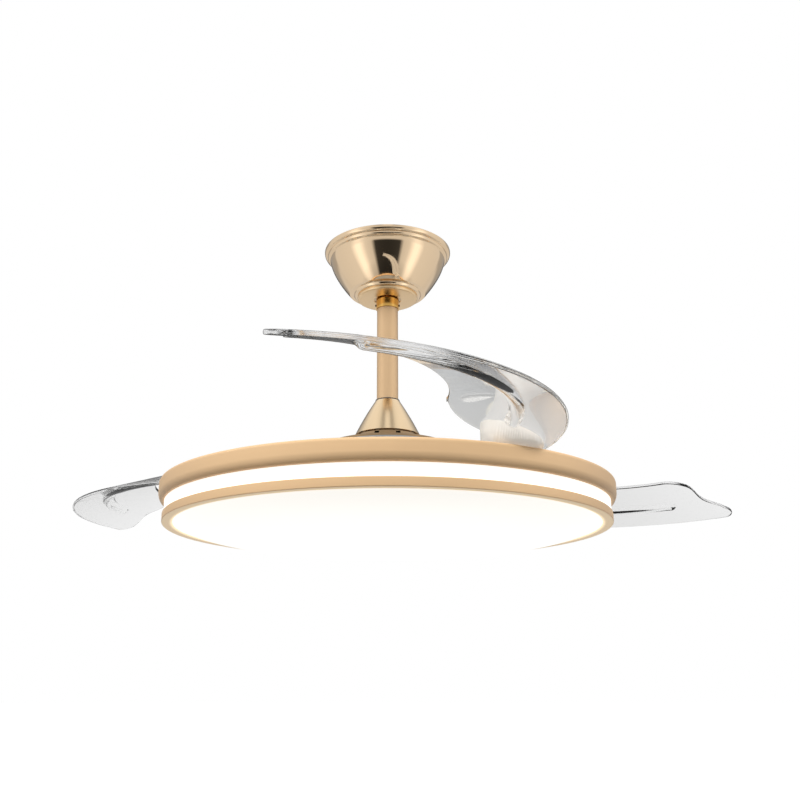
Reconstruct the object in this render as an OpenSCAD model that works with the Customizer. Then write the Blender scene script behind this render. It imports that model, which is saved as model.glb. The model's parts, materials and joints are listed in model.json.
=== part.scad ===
// Ceiling fan with three retractable clear blades and a round light.
// Z = 0 is the ceiling face and the fan hangs down from it. The first blade points towards -Y.
// The rest pose is the running one, with the blades swung out.

/* [Overall] */
// Distance from the ceiling to the underside of the lower ring
drop = 380; // [350:1:700]
// Outer radius of the light's lower ring
body_r = 275; // [265:1:290]

/* [Canopy] */
// Radius of the canopy's lip at the ceiling
canopy_r = 85.5; // [83:0.5:95]
// Height of the canopy
canopy_h = 65.5; // [64:0.5:72]
// Wall of the canopy
canopy_wall = 1.2; // [0.8:0.1:1.6]
// Radius of the bowl's flat bottom
canopy_base_r = 53; // [49:0.5:58]
// Radius of the cover plate under the canopy
plate_r = 40.4; // [38:0.2:42]
// Height of the cover plate
plate_h = 4; // [3.6:0.1:6]

/* [Ceiling bracket] */
// Distance between the two ceiling screws
ceiling_screw_gap = 100; // [90:1:110]
// Radius of the ceiling screw holes
ceiling_hole_r = 2.75; // [2:0.25:3.5]
// Width of the bracket strap
strap_w = 36; // [32:1:40]
// Thickness of the bracket steel
strap_t = 3; // [2:0.5:4]

/* [Hanger and rod] */
// Outer radius of the down rod
rod_r = 14; // [12:0.5:14.5]
// Wall of the down rod
rod_wall = 2; // [1.5:0.25:3]
// Radius of the hanger ball
ball_r = 22; // [21:0.5:23]
// Depth of the ball's centre under the ceiling
ball_depth = 36; // [34:0.5:37]
// Radius of the cross pins and bolts in the rod
cross_pin_r = 3; // [2.5:0.25:3.5]
// Length of the brass collar under the cover plate
collar_len = 16; // [12:0.5:24]
// Wall of the brass collar
collar_wall = 1.2; // [1:0.1:2]

/* [Motor] */
// Outer radius of the motor housing
motor_r = 84; // [82:0.5:95]
// Height of the motor housing with both covers
motor_h = 54.5; // [52:0.5:70]
// Wall of the motor housing
shell_wall = 7.7; // [7:0.1:9]
// Thickness of the housing covers
cover_t = 3.2; // [2.8:0.1:5]
// Outer radius of the hollow motor shaft
shaft_r = 10; // [9.5:0.25:10.5]
// Bore radius of the hollow motor shaft
shaft_bore_r = 7; // [6.5:0.25:7.5]
// Room over and under the stator core
winding_room = 12; // [11:0.5:13]
// Air gap between the stator and the magnets
stator_gap = 1.6; // [1.2:0.1:2]
// Number of stator teeth and coils
teeth = 12; // [9:3:15]
// Number of rotor magnets
magnets = 14; // [10:2:16]
// Thickness of the rotor magnets
magnet_t = 4.4; // [3:0.2:5]
// Width of the bearings
bearing_w = 9; // [8:0.5:10]
// Outer radius of the bearings
bearing_r = 18.5; // [18:0.25:20]
// Number of balls in each bearing
bearing_balls = 10; // [7:1:10]

/* [Motor cover] */
// Height of the cone over the motor coupling
cone_h = 46.5; // [45:0.5:56]
// Radius of the cone's foot
cone_r = 42; // [40:0.5:48]
// Sheet thickness of the cone and the vent ring
trim_t = 1.2; // [1:0.1:1.6]
// Height of the vent ring
vent_h = 19; // [17:0.5:22]
// Height of the vent ring's lip over the motor's top cover
vent_lip = 3.5; // [2:0.5:6]
// Number of slots in the vent ring
vents = 10; // [8:1:16]
// Width of each slot
vent_w = 6; // [3:0.25:7]

/* [Light] */
// Height of the lower ring
lower_ring_h = 10.4; // [9:0.2:14]
// Height of the glowing band between the rings
band_show = 14.3; // [10:0.1:20]
// Height of the upper ring
upper_ring_h = 23.8; // [22:0.1:30]
// Step by which the upper ring stands out past the lower one
ring_step = 5.5; // [3:0.5:8]
// Wall of the two rings
ring_wall = 1.6; // [1.2:0.1:2]
// Width of the bezel lip that carries the diffuser
bezel_w = 13; // [10:0.5:16]
// Thickness of the diffuser
diffuser_t = 3.2; // [2:0.2:4]
// Sag of the diffuser's middle under the ring
dome_h = 15; // [8:0.5:20]
// Thickness of the band's wall
band_t = 3.4; // [2.6:0.2:4]
// Sheet thickness of the light pan
pan_t = 1.5; // [1:0.1:2]
// Depth of the light pan
pan_h = 13; // [11:0.5:15]

/* [Blade carrier] */
// Thickness of the blade disc
disc_t = 2.5; // [2:0.25:3]
// Radius of the blade pivot posts
post_r = 6; // [5:0.25:6.5]
// Height of the holders' hubs on their posts
boss_h = 22.5; // [21:0.5:24]
// Depth of the threaded hole in each post
post_hole = 16; // [14:0.5:18]
// Number of teeth on each blade's gear
blade_teeth = 20; // [20:1:20]
// Number of teeth on a whole turn of the timing ring
ring_teeth = 142; // [142:1:142]
// Thickness of the timing ring
gear_t = 3; // [2.5:0.25:3.5]
// Width of the timing ring inside its teeth
gear_rim = 13; // [10:0.5:18]
// Backlash between the gears
backlash = 0.3; // [0.2:0.05:0.5]
// Number of ring guides
guides = 6; // [3:3:9]

/* [Blades] */
// Width of a blade across its curve
chord = 112; // [100:1:118]
// Rise of a blade from its leading to its trailing edge
blade_rise = 40; // [35:1:45]
// Thickness of a blade
blade_t = 4; // [3:0.25:5]
// Angle by which a blade swings in to close
fold_angle = 73; // [60:0.5:74]
// Angle from the pivot to the blade's tip
blade_sweep = 101.2; // [90:0.2:102]
// Radius of the blade's round root
root_r = 31; // [29:0.5:33]
// Bearing of the first blade's pivot from +X
pivot_bearing = -57; // [-60:0.5:-54]
// Width of the stiffening bead
bead_w = 16; // [12:0.5:20]
// Height of the stiffening bead
bead_h = 6; // [4:0.25:8]
// Distance of the bead from the leading edge
bead_in = 48; // [40:0.5:60]

/* [Hidden] */
// Clearances
run_gap = 0.05;      // shaft in hole, radial
fit_gap = 0.3;       // pieces that sit in each other
air_gap = 1.0;       // pieces that turn past each other
pan_gap = 4;         // blade disc over the light pan
fine = 96;           // facets named for large round pieces, exact in any case

// Levels over the lower ring's underside
band_z = diffuser_t + ring_wall + 0.8;
upper_z = lower_ring_h + band_show;
upper_top = upper_z + upper_ring_h;
pan_top = upper_top - 8.5;
disc_z = pan_top + pan_gap;
disc_top = disc_z + disc_t;
gear_z = disc_top + 0.5;
holder_z = gear_z + gear_t + 0.7;
lead_z = upper_top + 5.5;
motor_top = disc_top + motor_h;
vent_top = motor_top + vent_h;
cone_z = vent_top + air_gap;
cone_top = cone_z + cone_h;

// Light radii
upper_r = body_r + ring_step;
band_r = body_r - ring_wall - fit_gap;
pan_flange_r = band_r - band_t + 1;
pan_r = pan_flange_r - 12.3;
boss_r = 4.5;
band_flange_t = 3;
band_screw_r = pan_flange_r - 5;
band_screws_n = 6;

// Motor sizes
shell_in = motor_r - shell_wall;
shell_z = disc_top + cover_t;
shell_top = motor_top - cover_t;
magnet_in = shell_in - magnet_t;
stator_r = magnet_in - stator_gap;
core_z = shell_z + winding_room;
core_top = shell_top - winding_room;
coil_side = 4;
coil_end = 5;
tooth_w = 10;
yoke_in = 26;
yoke_r = 38;
lower_bearing_z = shell_z;
upper_bearing_z = motor_top - bearing_w;
race_t = 2.1;
hub_r = bearing_r + 3.5;
bolt_ring_r = motor_r - 4;
bolt_r = 2;
shoulder_r = 16;
shaft_z = 18;
coupling_r = rod_r + 4;
coupling_z = motor_top + 5;
coupling_top = cone_top - 11;
rod_z = coupling_top - 18;
shaft_top = rod_z - 4;
bolt_z = rod_z + 9;
nut_h = 8;
motor_board_t = 1.4;

// Blade geometry, drawn folded with the pivot on +X
lead_r = body_r - 1;
trail_r = lead_r - chord;
pivot_r = lead_r - root_r;
slope = blade_rise / chord;
tilt = atan(slope);
blade_v = blade_t / cos(tilt);
root_end = 2.7;
root_round = 45;
tip_round = 12;
heel_round = 26;
dip_in = 61;
dip_r = lead_r - dip_in;
horn_w = 43;
heel_w = 30;
disc_r = pivot_r + 19;
bush_r = post_r + 3;
hub_boss_r = bush_r + 3;
boss_top = holder_z + boss_h;
disc_hole_r = 24;
cap_r = hub_boss_r - 1;
blade_screw_ring = 21.5;
blade_screw_r = 2;

// Gears
gear_mod = 2 * pivot_r / (blade_teeth + ring_teeth);
blade_gear_r = gear_mod * blade_teeth / 2;
ring_gear_r = gear_mod * ring_teeth / 2;
ring_in = ring_gear_r - 1.25 * gear_mod - gear_rim;
guide_r = 7;
guide_ring_r = ring_in - fit_gap - guide_r;
closing_teeth = ceil(fold_angle * blade_teeth / 360);
stop_r = 3.5;
stop_ring = 23;

// Canopy
lip_h = 7.5;
neck_h = 5;
rod_top = ball_depth - 8;
seat_z = ball_depth + 14;
plate_hole_r = rod_r + 4.5;
cover_screw_x = 31;
strap_len = ceiling_screw_gap + 22;

// Colours
gold = "#e3c096";
brass = "#c9933a";
mirror_gold = "#cda57c";
clear = [0.86, 0.88, 0.9, 0.5];
milk = "#f4f2ee";
steel = "#9aa0a6";
zinc = "#c5c9cc";
dark = "#33363a";
copper = "#b4622d";
board = "#e9e6dc";

// ---- helpers ----

// Right-hand normal of a step, and the mitre of a polyline at one of its points
function step_normal(a, b) = let (d = b - a) [d[1], -d[0]] / norm(d);
function mitre(p, i) = let (
    n = step_normal(p[max(i - 1, 0)], p[max(i, 1)]),
    m = step_normal(p[min(i, len(p) - 2)], p[min(i + 1, len(p) - 1)])
) (n + m) / (1 + n * m);

// Closed outline of a sheet of thickness t laid along a polyline
function sheet(p, t) = concat(p, [for (i = [len(p) - 1:-1:0]) p[i] + t * mitre(p, i)]);

// Middle height of a blade at a distance from the fan's axis, blades folded
function blade_z(rho) = lead_z + slope * (lead_r - rho);

module on_body() { translate([0, 0, -drop]) children(); }

module turned(profile) { rotate_extrude($fn = fine) polygon(profile); }

module tube(r_in, r_out, z0, z1) {
    difference() {
        translate([0, 0, z0]) cylinder(r = r_out, h = z1 - z0, $fn = fine);
        translate([0, 0, z0 - 1]) cylinder(r = r_in, h = z1 - z0 + 2, $fn = fine);
    }
}

module rod(r, z0, z1) { translate([0, 0, z0]) cylinder(r = r, h = z1 - z0, $fn = fine); }

module around(n, r, start = 0) {
    for (i = [0:n - 1]) rotate([0, 0, start + i * 360 / n]) translate([r, 0, 0]) children();
}

// The pivot of blade k, and the blade's own frame folded and swung out
module at_pivot(k) {
    rotate([0, 0, pivot_bearing + 120 * k]) translate([pivot_r, 0, 0]) children();
}
module swung_out(k) {
    at_pivot(k) rotate([0, 0, fold_angle]) translate([-pivot_r, 0, 0]) children();
}

// ---- ceiling ----

module ceiling_bracket() color(zinc) difference() {
    union() {
        translate([-strap_len / 2, -strap_w / 2, -strap_t]) cube([strap_len, strap_w, strap_t]);
        for (s = [-1, 1]) translate([s * (ball_r + 5 + strap_t / 2) - strap_t / 2, -strap_w / 2, -seat_z])
            cube([strap_t, strap_w, seat_z - strap_t / 2]);
        translate([-cover_screw_x - 6, -strap_w / 2, -seat_z - strap_t])
            cube([2 * cover_screw_x + 12, strap_w, strap_t]);
        for (s = [-1, 1]) translate([s * cover_screw_x, 0, canopy_wall - canopy_h])
            cylinder(r = 5, h = canopy_h - canopy_wall - seat_z - strap_t / 2, $fn = fine);
    }
    for (s = [-1, 1]) {
        translate([s * ceiling_screw_gap / 2, 0, -strap_t - 1])
            cylinder(r = ceiling_hole_r, h = strap_t + 2, $fn = fine);
        translate([s * cover_screw_x, 0, -canopy_h]) cylinder(r = 2, h = 14, $fn = fine);
    }
    translate([0, 0, -strap_t - 1]) cylinder(r = 9, h = strap_t + 2, $fn = fine);
    translate([0, 0, -ball_depth]) sphere(r = ball_r + fit_gap, $fn = fine);
    translate([0, 0, -seat_z - strap_t - 1])
        cylinder(r = rod_r + 2, h = strap_t + 4, $fn = fine);
    translate([-rod_r - 2, 0, -seat_z - strap_t - 1])
        cube([2 * rod_r + 4, strap_w, strap_t + 1.01]);
}

bowl_r = canopy_r - 8;
bowl_z = lip_h + 5.5;
bowl_end = canopy_h - neck_h;
canopy_line = concat(
    [[canopy_r - 1.5, 0], [canopy_r, -1.6], [canopy_r, -4], [canopy_r - 1.2, -6], [canopy_r - 3, -lip_h],
     [canopy_r - 4.2, -lip_h - 0.4], [canopy_r - 4.6, -lip_h - 2], [canopy_r - 5.6, -lip_h - 3.6],
     [canopy_r - 7.2, -lip_h - 4.4]],
    [for (i = [0:8]) let (t = i / 8)
        [bowl_r + (canopy_base_r - bowl_r) * pow(t, 1.5), -bowl_z - (bowl_end - 2 - bowl_z) * t]],
    [[canopy_base_r - 2, -bowl_end - 0.3], [canopy_base_r - 6.5, -bowl_end - 0.6],
     [canopy_base_r - 8, -bowl_end - 1.6], [canopy_base_r - 8.6, -bowl_end - 3.6],
     [canopy_base_r - 10, -canopy_h], [rod_r + 8, -canopy_h]]);

module canopy() color(mirror_gold) difference() {
    turned(sheet(canopy_line, canopy_wall));
    for (s = [-1, 1]) translate([s * cover_screw_x, 0, -canopy_h - 1]) cylinder(r = 2.2, h = 4, $fn = fine);
}

module canopy_screws() color(steel) for (s = [-1, 1]) translate([s * cover_screw_x, 0, -canopy_h]) {
    translate([0, 0, -2]) cylinder(r = 3.8, h = 2, $fn = fine);
    cylinder(r = 2 - run_gap, h = 12, $fn = fine);
}

module canopy_plate() color("#d8c48c")
    turned(sheet([[plate_r, -canopy_h], [plate_r, -canopy_h - plate_h + 1.6],
        [plate_r - 0.5, -canopy_h - plate_h + 0.5], [plate_r - 1.6, -canopy_h - plate_h],
        [plate_hole_r, -canopy_h - plate_h]], 1.1));

module terminal_block() color(milk) difference() {
    translate([strap_len / 2 - 25, -11, -strap_t - 13]) cube([22, 22, 13]);
    for (y = [-6, 0, 6]) translate([strap_len / 2 - 26, y, -strap_t - 7])
        rotate([0, 90, 0]) cylinder(r = 1.8, h = 24, $fn = fine);
}

// ---- hanger: what hangs still under the ball ----

module hanger_ball() color(dark) translate([0, 0, -ball_depth]) difference() {
    sphere(r = ball_r, $fn = fine);
    translate([0, 0, -ball_r - 1]) cylinder(r = rod_r + run_gap, h = 2 * ball_r + 2, $fn = fine);
    rotate([0, 90, 0]) cylinder(r = cross_pin_r + run_gap, h = 2 * ball_r + 2, center = true, $fn = fine);
}

module ball_pin() color(steel) translate([0, 0, -ball_depth]) rotate([0, 90, 0])
    cylinder(r = cross_pin_r, h = 2 * (ball_r - 1.5), center = true, $fn = fine);

module downrod() color(gold) difference() {
    rod(rod_r, -drop + rod_z, -rod_top);
    rod(rod_r - rod_wall, -drop + rod_z - 1, 1 - rod_top);
    translate([0, 0, -ball_depth]) rotate([0, 90, 0])
        cylinder(r = cross_pin_r + run_gap, h = 2 * rod_r + 2, center = true, $fn = fine);
    translate([0, 0, bolt_z - drop]) rotate([0, 90, 0])
        cylinder(r = cross_pin_r + run_gap, h = 2 * rod_r + 2, center = true, $fn = fine);
}

collar_top = canopy_h + plate_h - 2;
collar_screw_z = collar_top + collar_len * 0.62;

module rod_collar() color(brass) difference() {
    tube(rod_r + run_gap, rod_r + collar_wall, -collar_top - collar_len, -collar_top);
    translate([0, 0, -collar_screw_z]) rotate([0, 90, 0])
        cylinder(r = 1.65, h = 2 * rod_r + 10, center = true, $fn = fine);
}

module collar_screws() color(dark) for (s = [0, 180]) rotate([0, 0, s])
    translate([rod_r + 0.1, 0, -collar_screw_z]) rotate([0, 90, 0]) cylinder(r = 1.6, h = 2.4, $fn = fine);

// The wires run straight up past both cross pins
wire_r = 1.2;
wire_out = cross_pin_r + wire_r + 0.8;

module supply_wires() color("#d9d4c8")
    for (p = [[wire_r + 0.4, wire_out], [-wire_r - 0.4, wire_out], [0, -wire_out]])
        translate([p[0], p[1], shaft_z - 4 - drop])
            cylinder(r = wire_r, h = drop - rod_top - shaft_z + 8, $fn = fine);

module rod_seal() color("#1d1b1a") on_body() tube(rod_r + run_gap, rod_r + 1.7, cone_top, cone_top + 1.5);

cone_top_r = rod_r + 1.9;
cone_line = [for (i = [0:14]) let (t = i / 14)
    [cone_top_r + (cone_r - cone_top_r) * (1.15 * t - 0.15 * t * t), cone_top - cone_h * t]];

module motor_cone() color(gold) on_body() turned(sheet(cone_line, trim_t));

module coupling() color(steel) on_body() difference() {
    rod(coupling_r, coupling_z, coupling_top);
    rod(shaft_bore_r, coupling_z - 1, coupling_top + 1);
    rod(shaft_r + run_gap, coupling_z - 1, shaft_top);
    rod(rod_r + run_gap, rod_z, coupling_top + 1);
    translate([0, 0, bolt_z]) rotate([0, 90, 0])
        cylinder(r = cross_pin_r + run_gap, h = 2 * coupling_r + 2, center = true, $fn = fine);
}

module coupling_bolt() color(zinc) on_body() translate([0, 0, bolt_z]) rotate([0, 90, 0]) {
    cylinder(r = cross_pin_r, h = 2 * coupling_r + 6, center = true, $fn = fine);
    translate([0, 0, coupling_r + 0.1]) cylinder(r = cross_pin_r + 2.4, h = 3.5, $fn = 6);
    translate([0, 0, -coupling_r - 3.1]) cylinder(r = cross_pin_r + 2.4, h = 3, $fn = 6);
}

module motor_shaft() color(zinc) on_body() difference() {
    union() {
        rod(shaft_r, shaft_z, shaft_top);
        rod(shoulder_r, pan_top, disc_z - air_gap);
    }
    rod(shaft_bore_r, shaft_z - 1, shaft_top + 1);
}

module races(r_in, r_out) {
    for (z = [lower_bearing_z, upper_bearing_z]) tube(r_in, r_out, z, z + bearing_w);
}

module bearing_inner_races() color(steel) on_body() races(shaft_r + run_gap, shaft_r + race_t);

module stator_hub() color("#b9bdc1") on_body() difference() {
    tube(shaft_r + run_gap, yoke_in - run_gap, core_z - 2, core_top + 2);
    around(6, (shaft_r + yoke_in) / 2 + 1) rod(3, core_z - 3, core_top + 3);
}

module stator_core() color("#6f757b") on_body() {
    tube(yoke_in, yoke_r, core_z, core_top);
    for (i = [0:teeth - 1]) rotate([0, 0, i * 360 / teeth]) {
        translate([yoke_r - 1, -tooth_w / 2, core_z])
            cube([stator_r - yoke_r - 3, tooth_w, core_top - core_z]);
        rotate([0, 0, -120 / teeth]) rotate_extrude(angle = 240 / teeth, $fn = fine)
            translate([stator_r - 5, core_z]) square([5, core_top - core_z]);
    }
}

module stator_coils() color(copper) on_body() for (i = [0:teeth - 1]) rotate([0, 0, i * 360 / teeth])
    difference() {
        translate([yoke_r + 4, -tooth_w / 2 - coil_side, core_z - coil_end])
            cube([stator_r - yoke_r - 10, tooth_w + 2 * coil_side, core_top - core_z + 2 * coil_end]);
        translate([yoke_r + 3, -tooth_w / 2 - 0.2, core_z - 0.2])
            cube([stator_r - yoke_r - 8, tooth_w + 0.4, core_top - core_z + 0.4]);
    }

// Small ring-shaped board that is held under the stator hub, inside the windings
module motor_board() color("#2f6b3c") on_body() difference() {
    tube(hub_r + air_gap, yoke_r + 2, core_z - 2 - motor_board_t, core_z - 2);
    around(3, yoke_r - 4) rod(1.6, shell_z, core_z);
}

pan_line = [[shaft_r + fit_gap, pan_top], [pan_r, pan_top], [pan_r, pan_top - pan_h + pan_t],
    [pan_flange_r, pan_top - pan_h + pan_t]];

module light_pan() color("#e8e6e1") on_body() difference() {
    turned(sheet(pan_line, pan_t));
    around(band_screws_n, band_screw_r, 30) rod(bolt_r + 0.1, 0, pan_top);
}

module pan_nut() color(zinc) on_body() difference() {
    translate([0, 0, pan_top - pan_t - nut_h]) cylinder(r = shaft_r + 6, h = nut_h, $fn = 6);
    rod(shaft_r + run_gap, 0, pan_top);
}

board_t = 1.6;
board_z = pan_top - pan_t - board_t;
board_in = 120;
module led_board() color(board) on_body() tube(board_in, pan_r - 13, board_z, pan_top - pan_t);

module led_chips() color("#f6e7a4") on_body() for (row = [0:2])
    around(24 + 8 * row, board_in + 20 + row * (pan_r - 13 - board_in - 40) / 2)
        translate([-1.5, -1.5, board_z - 0.8]) cube([3, 3, 0.8]);

module boxed(x0, x1, half_w, z0) {
    difference() {
        translate([x0, -half_w, z0]) cube([x1 - x0, 2 * half_w, pan_top - pan_t - z0]);
        for (x = [x0, x1], s = [-1, 1]) translate([x, s * half_w, z0 - 1]) rotate([0, 0, 45])
            cube([3, 3, 200], center = true);
    }
}

module led_driver() color("#efefec") on_body() boxed(shaft_r + 24, board_in - 8, 22, shaft_z - 2);
module receiver() color("#dcdcd8") on_body() boxed(-board_in + 16, -shaft_r - 30, 17, shaft_z + 3);

upper_line = [[upper_r - 14, upper_top], [upper_r - 3, upper_top], [upper_r - 0.9, upper_top - 0.9],
    [upper_r, upper_top - 3], [upper_r, upper_z + 6.4], [upper_r - 0.7, upper_z + 3.6],
    [upper_r - 2.2, upper_z + 1.4], [upper_r - 4.4, upper_z + 0.2], [band_r + fit_gap, upper_z]];

module upper_ring() color(gold) on_body() turned(sheet(upper_line, ring_wall));

module ring_clips() color(zinc) on_body() around(6, 0, 0) {
    clip_r = upper_r - ring_wall - fit_gap;
    translate([pan_r, -6, upper_z + 8]) cube([clip_r - pan_r, 12, 1.6]);
    translate([clip_r - 1.6, -6, upper_z + 8]) cube([1.6, 12, upper_ring_h - 12]);
    translate([pan_r, -6, upper_z + 3.9]) cube([1.6, 12, 5]);
}

band_top = pan_top - pan_h;
module light_band() color("#fffdf6") on_body() difference() {
    turned([[band_r - band_t, band_z], [band_r, band_z], [band_r, band_top],
        [band_screw_r - boss_r, band_top], [band_screw_r - boss_r, band_top - band_flange_t],
        [band_r - band_t, band_top - band_flange_t]]);
    around(band_screws_n, band_screw_r, 30) rod(bolt_r + 0.1, band_top - 10, band_top + 1);
}

lower_line = [[body_r - ring_wall, lower_ring_h], [body_r - ring_wall * 0.3, lower_ring_h],
    [body_r, lower_ring_h - 0.6], [body_r, 0.7], [body_r - 0.7, 0], [body_r - bezel_w + 1, 0.2],
    [body_r - bezel_w, 0.8], [body_r - bezel_w, ring_wall], [body_r - ring_wall, ring_wall]];

module lower_ring() color(gold) on_body() turned(lower_line);

module band_screws() color(zinc) on_body() around(band_screws_n, band_screw_r, 30) {
    rod(bolt_r, band_top - band_flange_t, band_top + pan_t + 3);
    rod(3.6, band_top - band_flange_t - 2.2, band_top - band_flange_t);
}

// Domed diffuser, flat at its rim, where it lies on the bezel
lens_r = body_r - ring_wall - 0.5;
lens_show_r = body_r - bezel_w - 0.6;
dome_steps = 16;
dome_line = [for (i = [0:dome_steps]) let (t = 1 - pow(1 - i / dome_steps, 2))
    [lens_show_r * t, ring_wall - dome_h * (1 - pow(t, 8))]];

module diffuser() color(milk) on_body()
    turned(concat(dome_line, [[lens_r, ring_wall], [lens_r, ring_wall + diffuser_t]],
        [for (i = [dome_steps:-1:0]) dome_line[i] + [0, diffuser_t]]));

// ---- rotor ----

module bearing_outer_races() color(steel) on_body() races(bearing_r - race_t, bearing_r);

ball_ring_r = (shaft_r + bearing_r) / 2;
ball_size = (bearing_r - shaft_r) / 2 - race_t - 0.06;
module bearing_balls() color("#d5d8db") on_body() for (z = [lower_bearing_z, upper_bearing_z])
    around(bearing_balls, ball_ring_r) translate([0, 0, z + bearing_w / 2]) sphere(r = ball_size, $fn = 32);

module bolt_holes(z0, z1, r) { around(6, bolt_ring_r, 30) rod(r, z0, z1); }

module rotor_shell() color("#8d9297") on_body() difference() {
    tube(shell_in, motor_r, shell_z, shell_top);
    bolt_holes(shell_z - 1, shell_top + 1, bolt_r + run_gap);
}

module rotor_magnets() color("#4a4e54") on_body() for (i = [0:magnets - 1])
    rotate([0, 0, i * 360 / magnets]) rotate_extrude(angle = 330 / magnets, $fn = fine)
        translate([magnet_in, core_z - 2]) square([magnet_t - run_gap, core_top - core_z + 4]);

module rotor_top_cover() color("#8d9297") on_body() difference() {
    union() {
        rod(motor_r, shell_top, motor_top);
        rod(hub_r, upper_bearing_z, shell_top);
    }
    rod(shaft_r + race_t + 0.6, upper_bearing_z - 1, motor_top + 1);
    rod(bearing_r + 0.02, upper_bearing_z - 1, motor_top + 1);
    around(6, (hub_r + shell_in) / 2) rod(8, shell_top - 1, motor_top + 1);
    bolt_holes(shell_top - 1, motor_top + 1, bolt_r + run_gap);
    bolt_holes(motor_top - 2, motor_top + 1, 3.7);
}

module rotor_bottom_cover() color("#8d9297") on_body() difference() {
    union() {
        rod(motor_r, disc_top, shell_z);
        rod(hub_r, shell_z, shell_z + bearing_w);
    }
    rod(shaft_r + race_t + 0.6, disc_top - 1, shell_z + 20);
    rod(bearing_r + 0.02, shell_z, shell_z + 20);
    bolt_holes(disc_top - 1, shell_z + 1, bolt_r + run_gap);
}

// Land under the cone's foot, a steep slotted wall, a brim and a lip on the motor's top cover
vent_land = cone_r - 1;
vent_foot = vent_land + 5;
vent_rim = motor_r - 1;
vent_line = [[vent_land - 2, vent_top], [vent_land, vent_top - 0.4], [vent_land + 1.2, vent_top - 1.6],
    [vent_foot - 1.4, vent_top - 6], [vent_foot + 1, vent_top - 7.5],
    [vent_rim - 1, motor_top + vent_lip], [vent_rim, motor_top + vent_lip - 1],
    [vent_rim, motor_top + 0.1]];

module vent_ring() color(gold) on_body() difference() {
    turned(sheet(vent_line, trim_t));
    for (i = [0:vents - 1]) rotate([0, 0, 270 + (i + 0.5) * 360 / vents])
        translate([vent_land + 1, -vent_w / 2, motor_top])
            cube([vent_foot - vent_land + 3, vent_w, vent_h + 2]);
}

module rotor_bolts() color(zinc) on_body() around(6, bolt_ring_r, 30) {
    rod(bolt_r, disc_z - 1, motor_top - 1.9);
    rod(3.6, motor_top - 1.9, motor_top);
    rod(3.6, disc_z - 1.8, disc_z);
}

module blade_disc() color("#aeb2b6") on_body() difference() {
    rod(disc_r, disc_z, disc_top);
    rod(shaft_r + race_t + 0.6, disc_z - 1, disc_top + 1);
    bolt_holes(disc_z - 1, disc_top + 1, bolt_r + run_gap);
    around(6, (motor_r + ring_in) / 2, pivot_bearing) rod(disc_hole_r, disc_z - 1, disc_top + 1);
    for (k = [0:2]) at_pivot(k) rod(post_r - 1, disc_z - 1, disc_top + 1);
}

module pivot_posts() color(steel) on_body() for (k = [0:2]) at_pivot(k) difference() {
    union() {
        rod(post_r, disc_top, boss_top + 0.3);
        rod(post_r - 1 - run_gap, disc_z - 1.5, disc_top);
        rod(post_r + 2, disc_z - 1.5, disc_z);
    }
    rod(2.55, boss_top - post_hole, boss_top + 1);
}

module pivot_screws() color(zinc) on_body() for (k = [0:2]) at_pivot(k) {
    rod(cap_r, boss_top + 0.3, boss_top + 2.5);
    rod(5, boss_top + 2.5, boss_top + 5.5);
    rod(2.5, boss_top - post_hole + 4, boss_top + 2.5);
}

module ring_guides() color("#e6e2d6") on_body() around(guides, guide_ring_r, pivot_bearing + 180 / guides) {
    rod(guide_r, disc_top, gear_z + gear_t + 0.4);
    rod(guide_r + 3, gear_z + gear_t + 0.4, gear_z + gear_t + 2.4);
    rod(4, gear_z + gear_t + 2.4, gear_z + gear_t + 13);
}

// A round wire wound on a helix, closed at both ends
module wound_wire(r, wire_r, pitch, turns, rings, sides) {
    steps = turns * rings;
    points = [for (i = [0:steps], j = [0:sides - 1]) let (
        a = 360 * i / rings, b = 360 * j / sides, q = r + wire_r * cos(b))
        [q * cos(a), q * sin(a), pitch * i / rings + wire_r * sin(b)]];
    skin = [for (i = [0:steps - 1], j = [0:sides - 1]) let (
        p = i * sides + j, q = i * sides + (j + 1) % sides)
        each [[p, p + sides, q + sides], [p, q + sides, q]]];
    first = [for (j = [1:sides - 2]) [0, j, j + 1]];
    last = [for (j = [1:sides - 2]) [steps * sides, steps * sides + j + 1, steps * sides + j]];
    polyhedron(points = points, faces = concat(skin, first, last), convexity = 6);
}

module return_springs() color(steel) on_body() around(3, guide_ring_r, pivot_bearing + 180 / guides)
    translate([0, 0, gear_z + gear_t + 3.7]) wound_wire(5.8, 0.9, 2.4, 3, 10, 6);

// Beside each gear, one rubber stop for the open end and one for the closed end
module stop_buffers() color("#26231f") on_body() for (k = [0:2], a = [open_stop, closed_stop]) at_pivot(k)
    rotate([0, 0, a]) translate([stop_ring, 0, 0]) rod(stop_r, disc_top, holder_z - 0.4);

// ---- gears ----

// Half the angle that a tooth takes at radius r, from the involute of its base circle
function inv(a) = tan(a) - a * PI / 180;
function tooth_half(r, n, m) = let (base = m * n / 2 * cos(20), a = acos(min(1, base / r)))
    (PI / (2 * n) - backlash / (m * n) + inv(20) - inv(a)) * 180 / PI;

// One tooth's outline from foot to foot, pointing along +X
function gear_tooth(n, m) = let (
    base = m * n / 2 * cos(20),
    low = max(base, m * n / 2 - 1.05 * m),
    high = m * n / 2 + 0.92 * m,
    radii = [for (i = [0:5]) low + (high - low) * i / 5],
    right = [for (r = concat([m * n / 2 - 1.6 * m], radii)) let (a = -tooth_half(max(r, low), n, m))
        polar(r, a)]
) concat(right, [for (i = [len(right) - 1:-1:0]) [right[i][0], -right[i][1]]]);
function turn(p, a) = [p[0] * cos(a) - p[1] * sin(a), p[0] * sin(a) + p[1] * cos(a)];

gear_pitch = 360 / blade_teeth;
sector_from = 180 - 2.5 * gear_pitch;
sector_to = 180 + fold_angle + 2 * gear_pitch;
stop_half = asin((stop_r + fit_gap) / stop_ring);
open_stop = sector_to - 360 + stop_half;
closed_stop = sector_from - fold_angle - stop_half;

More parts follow.
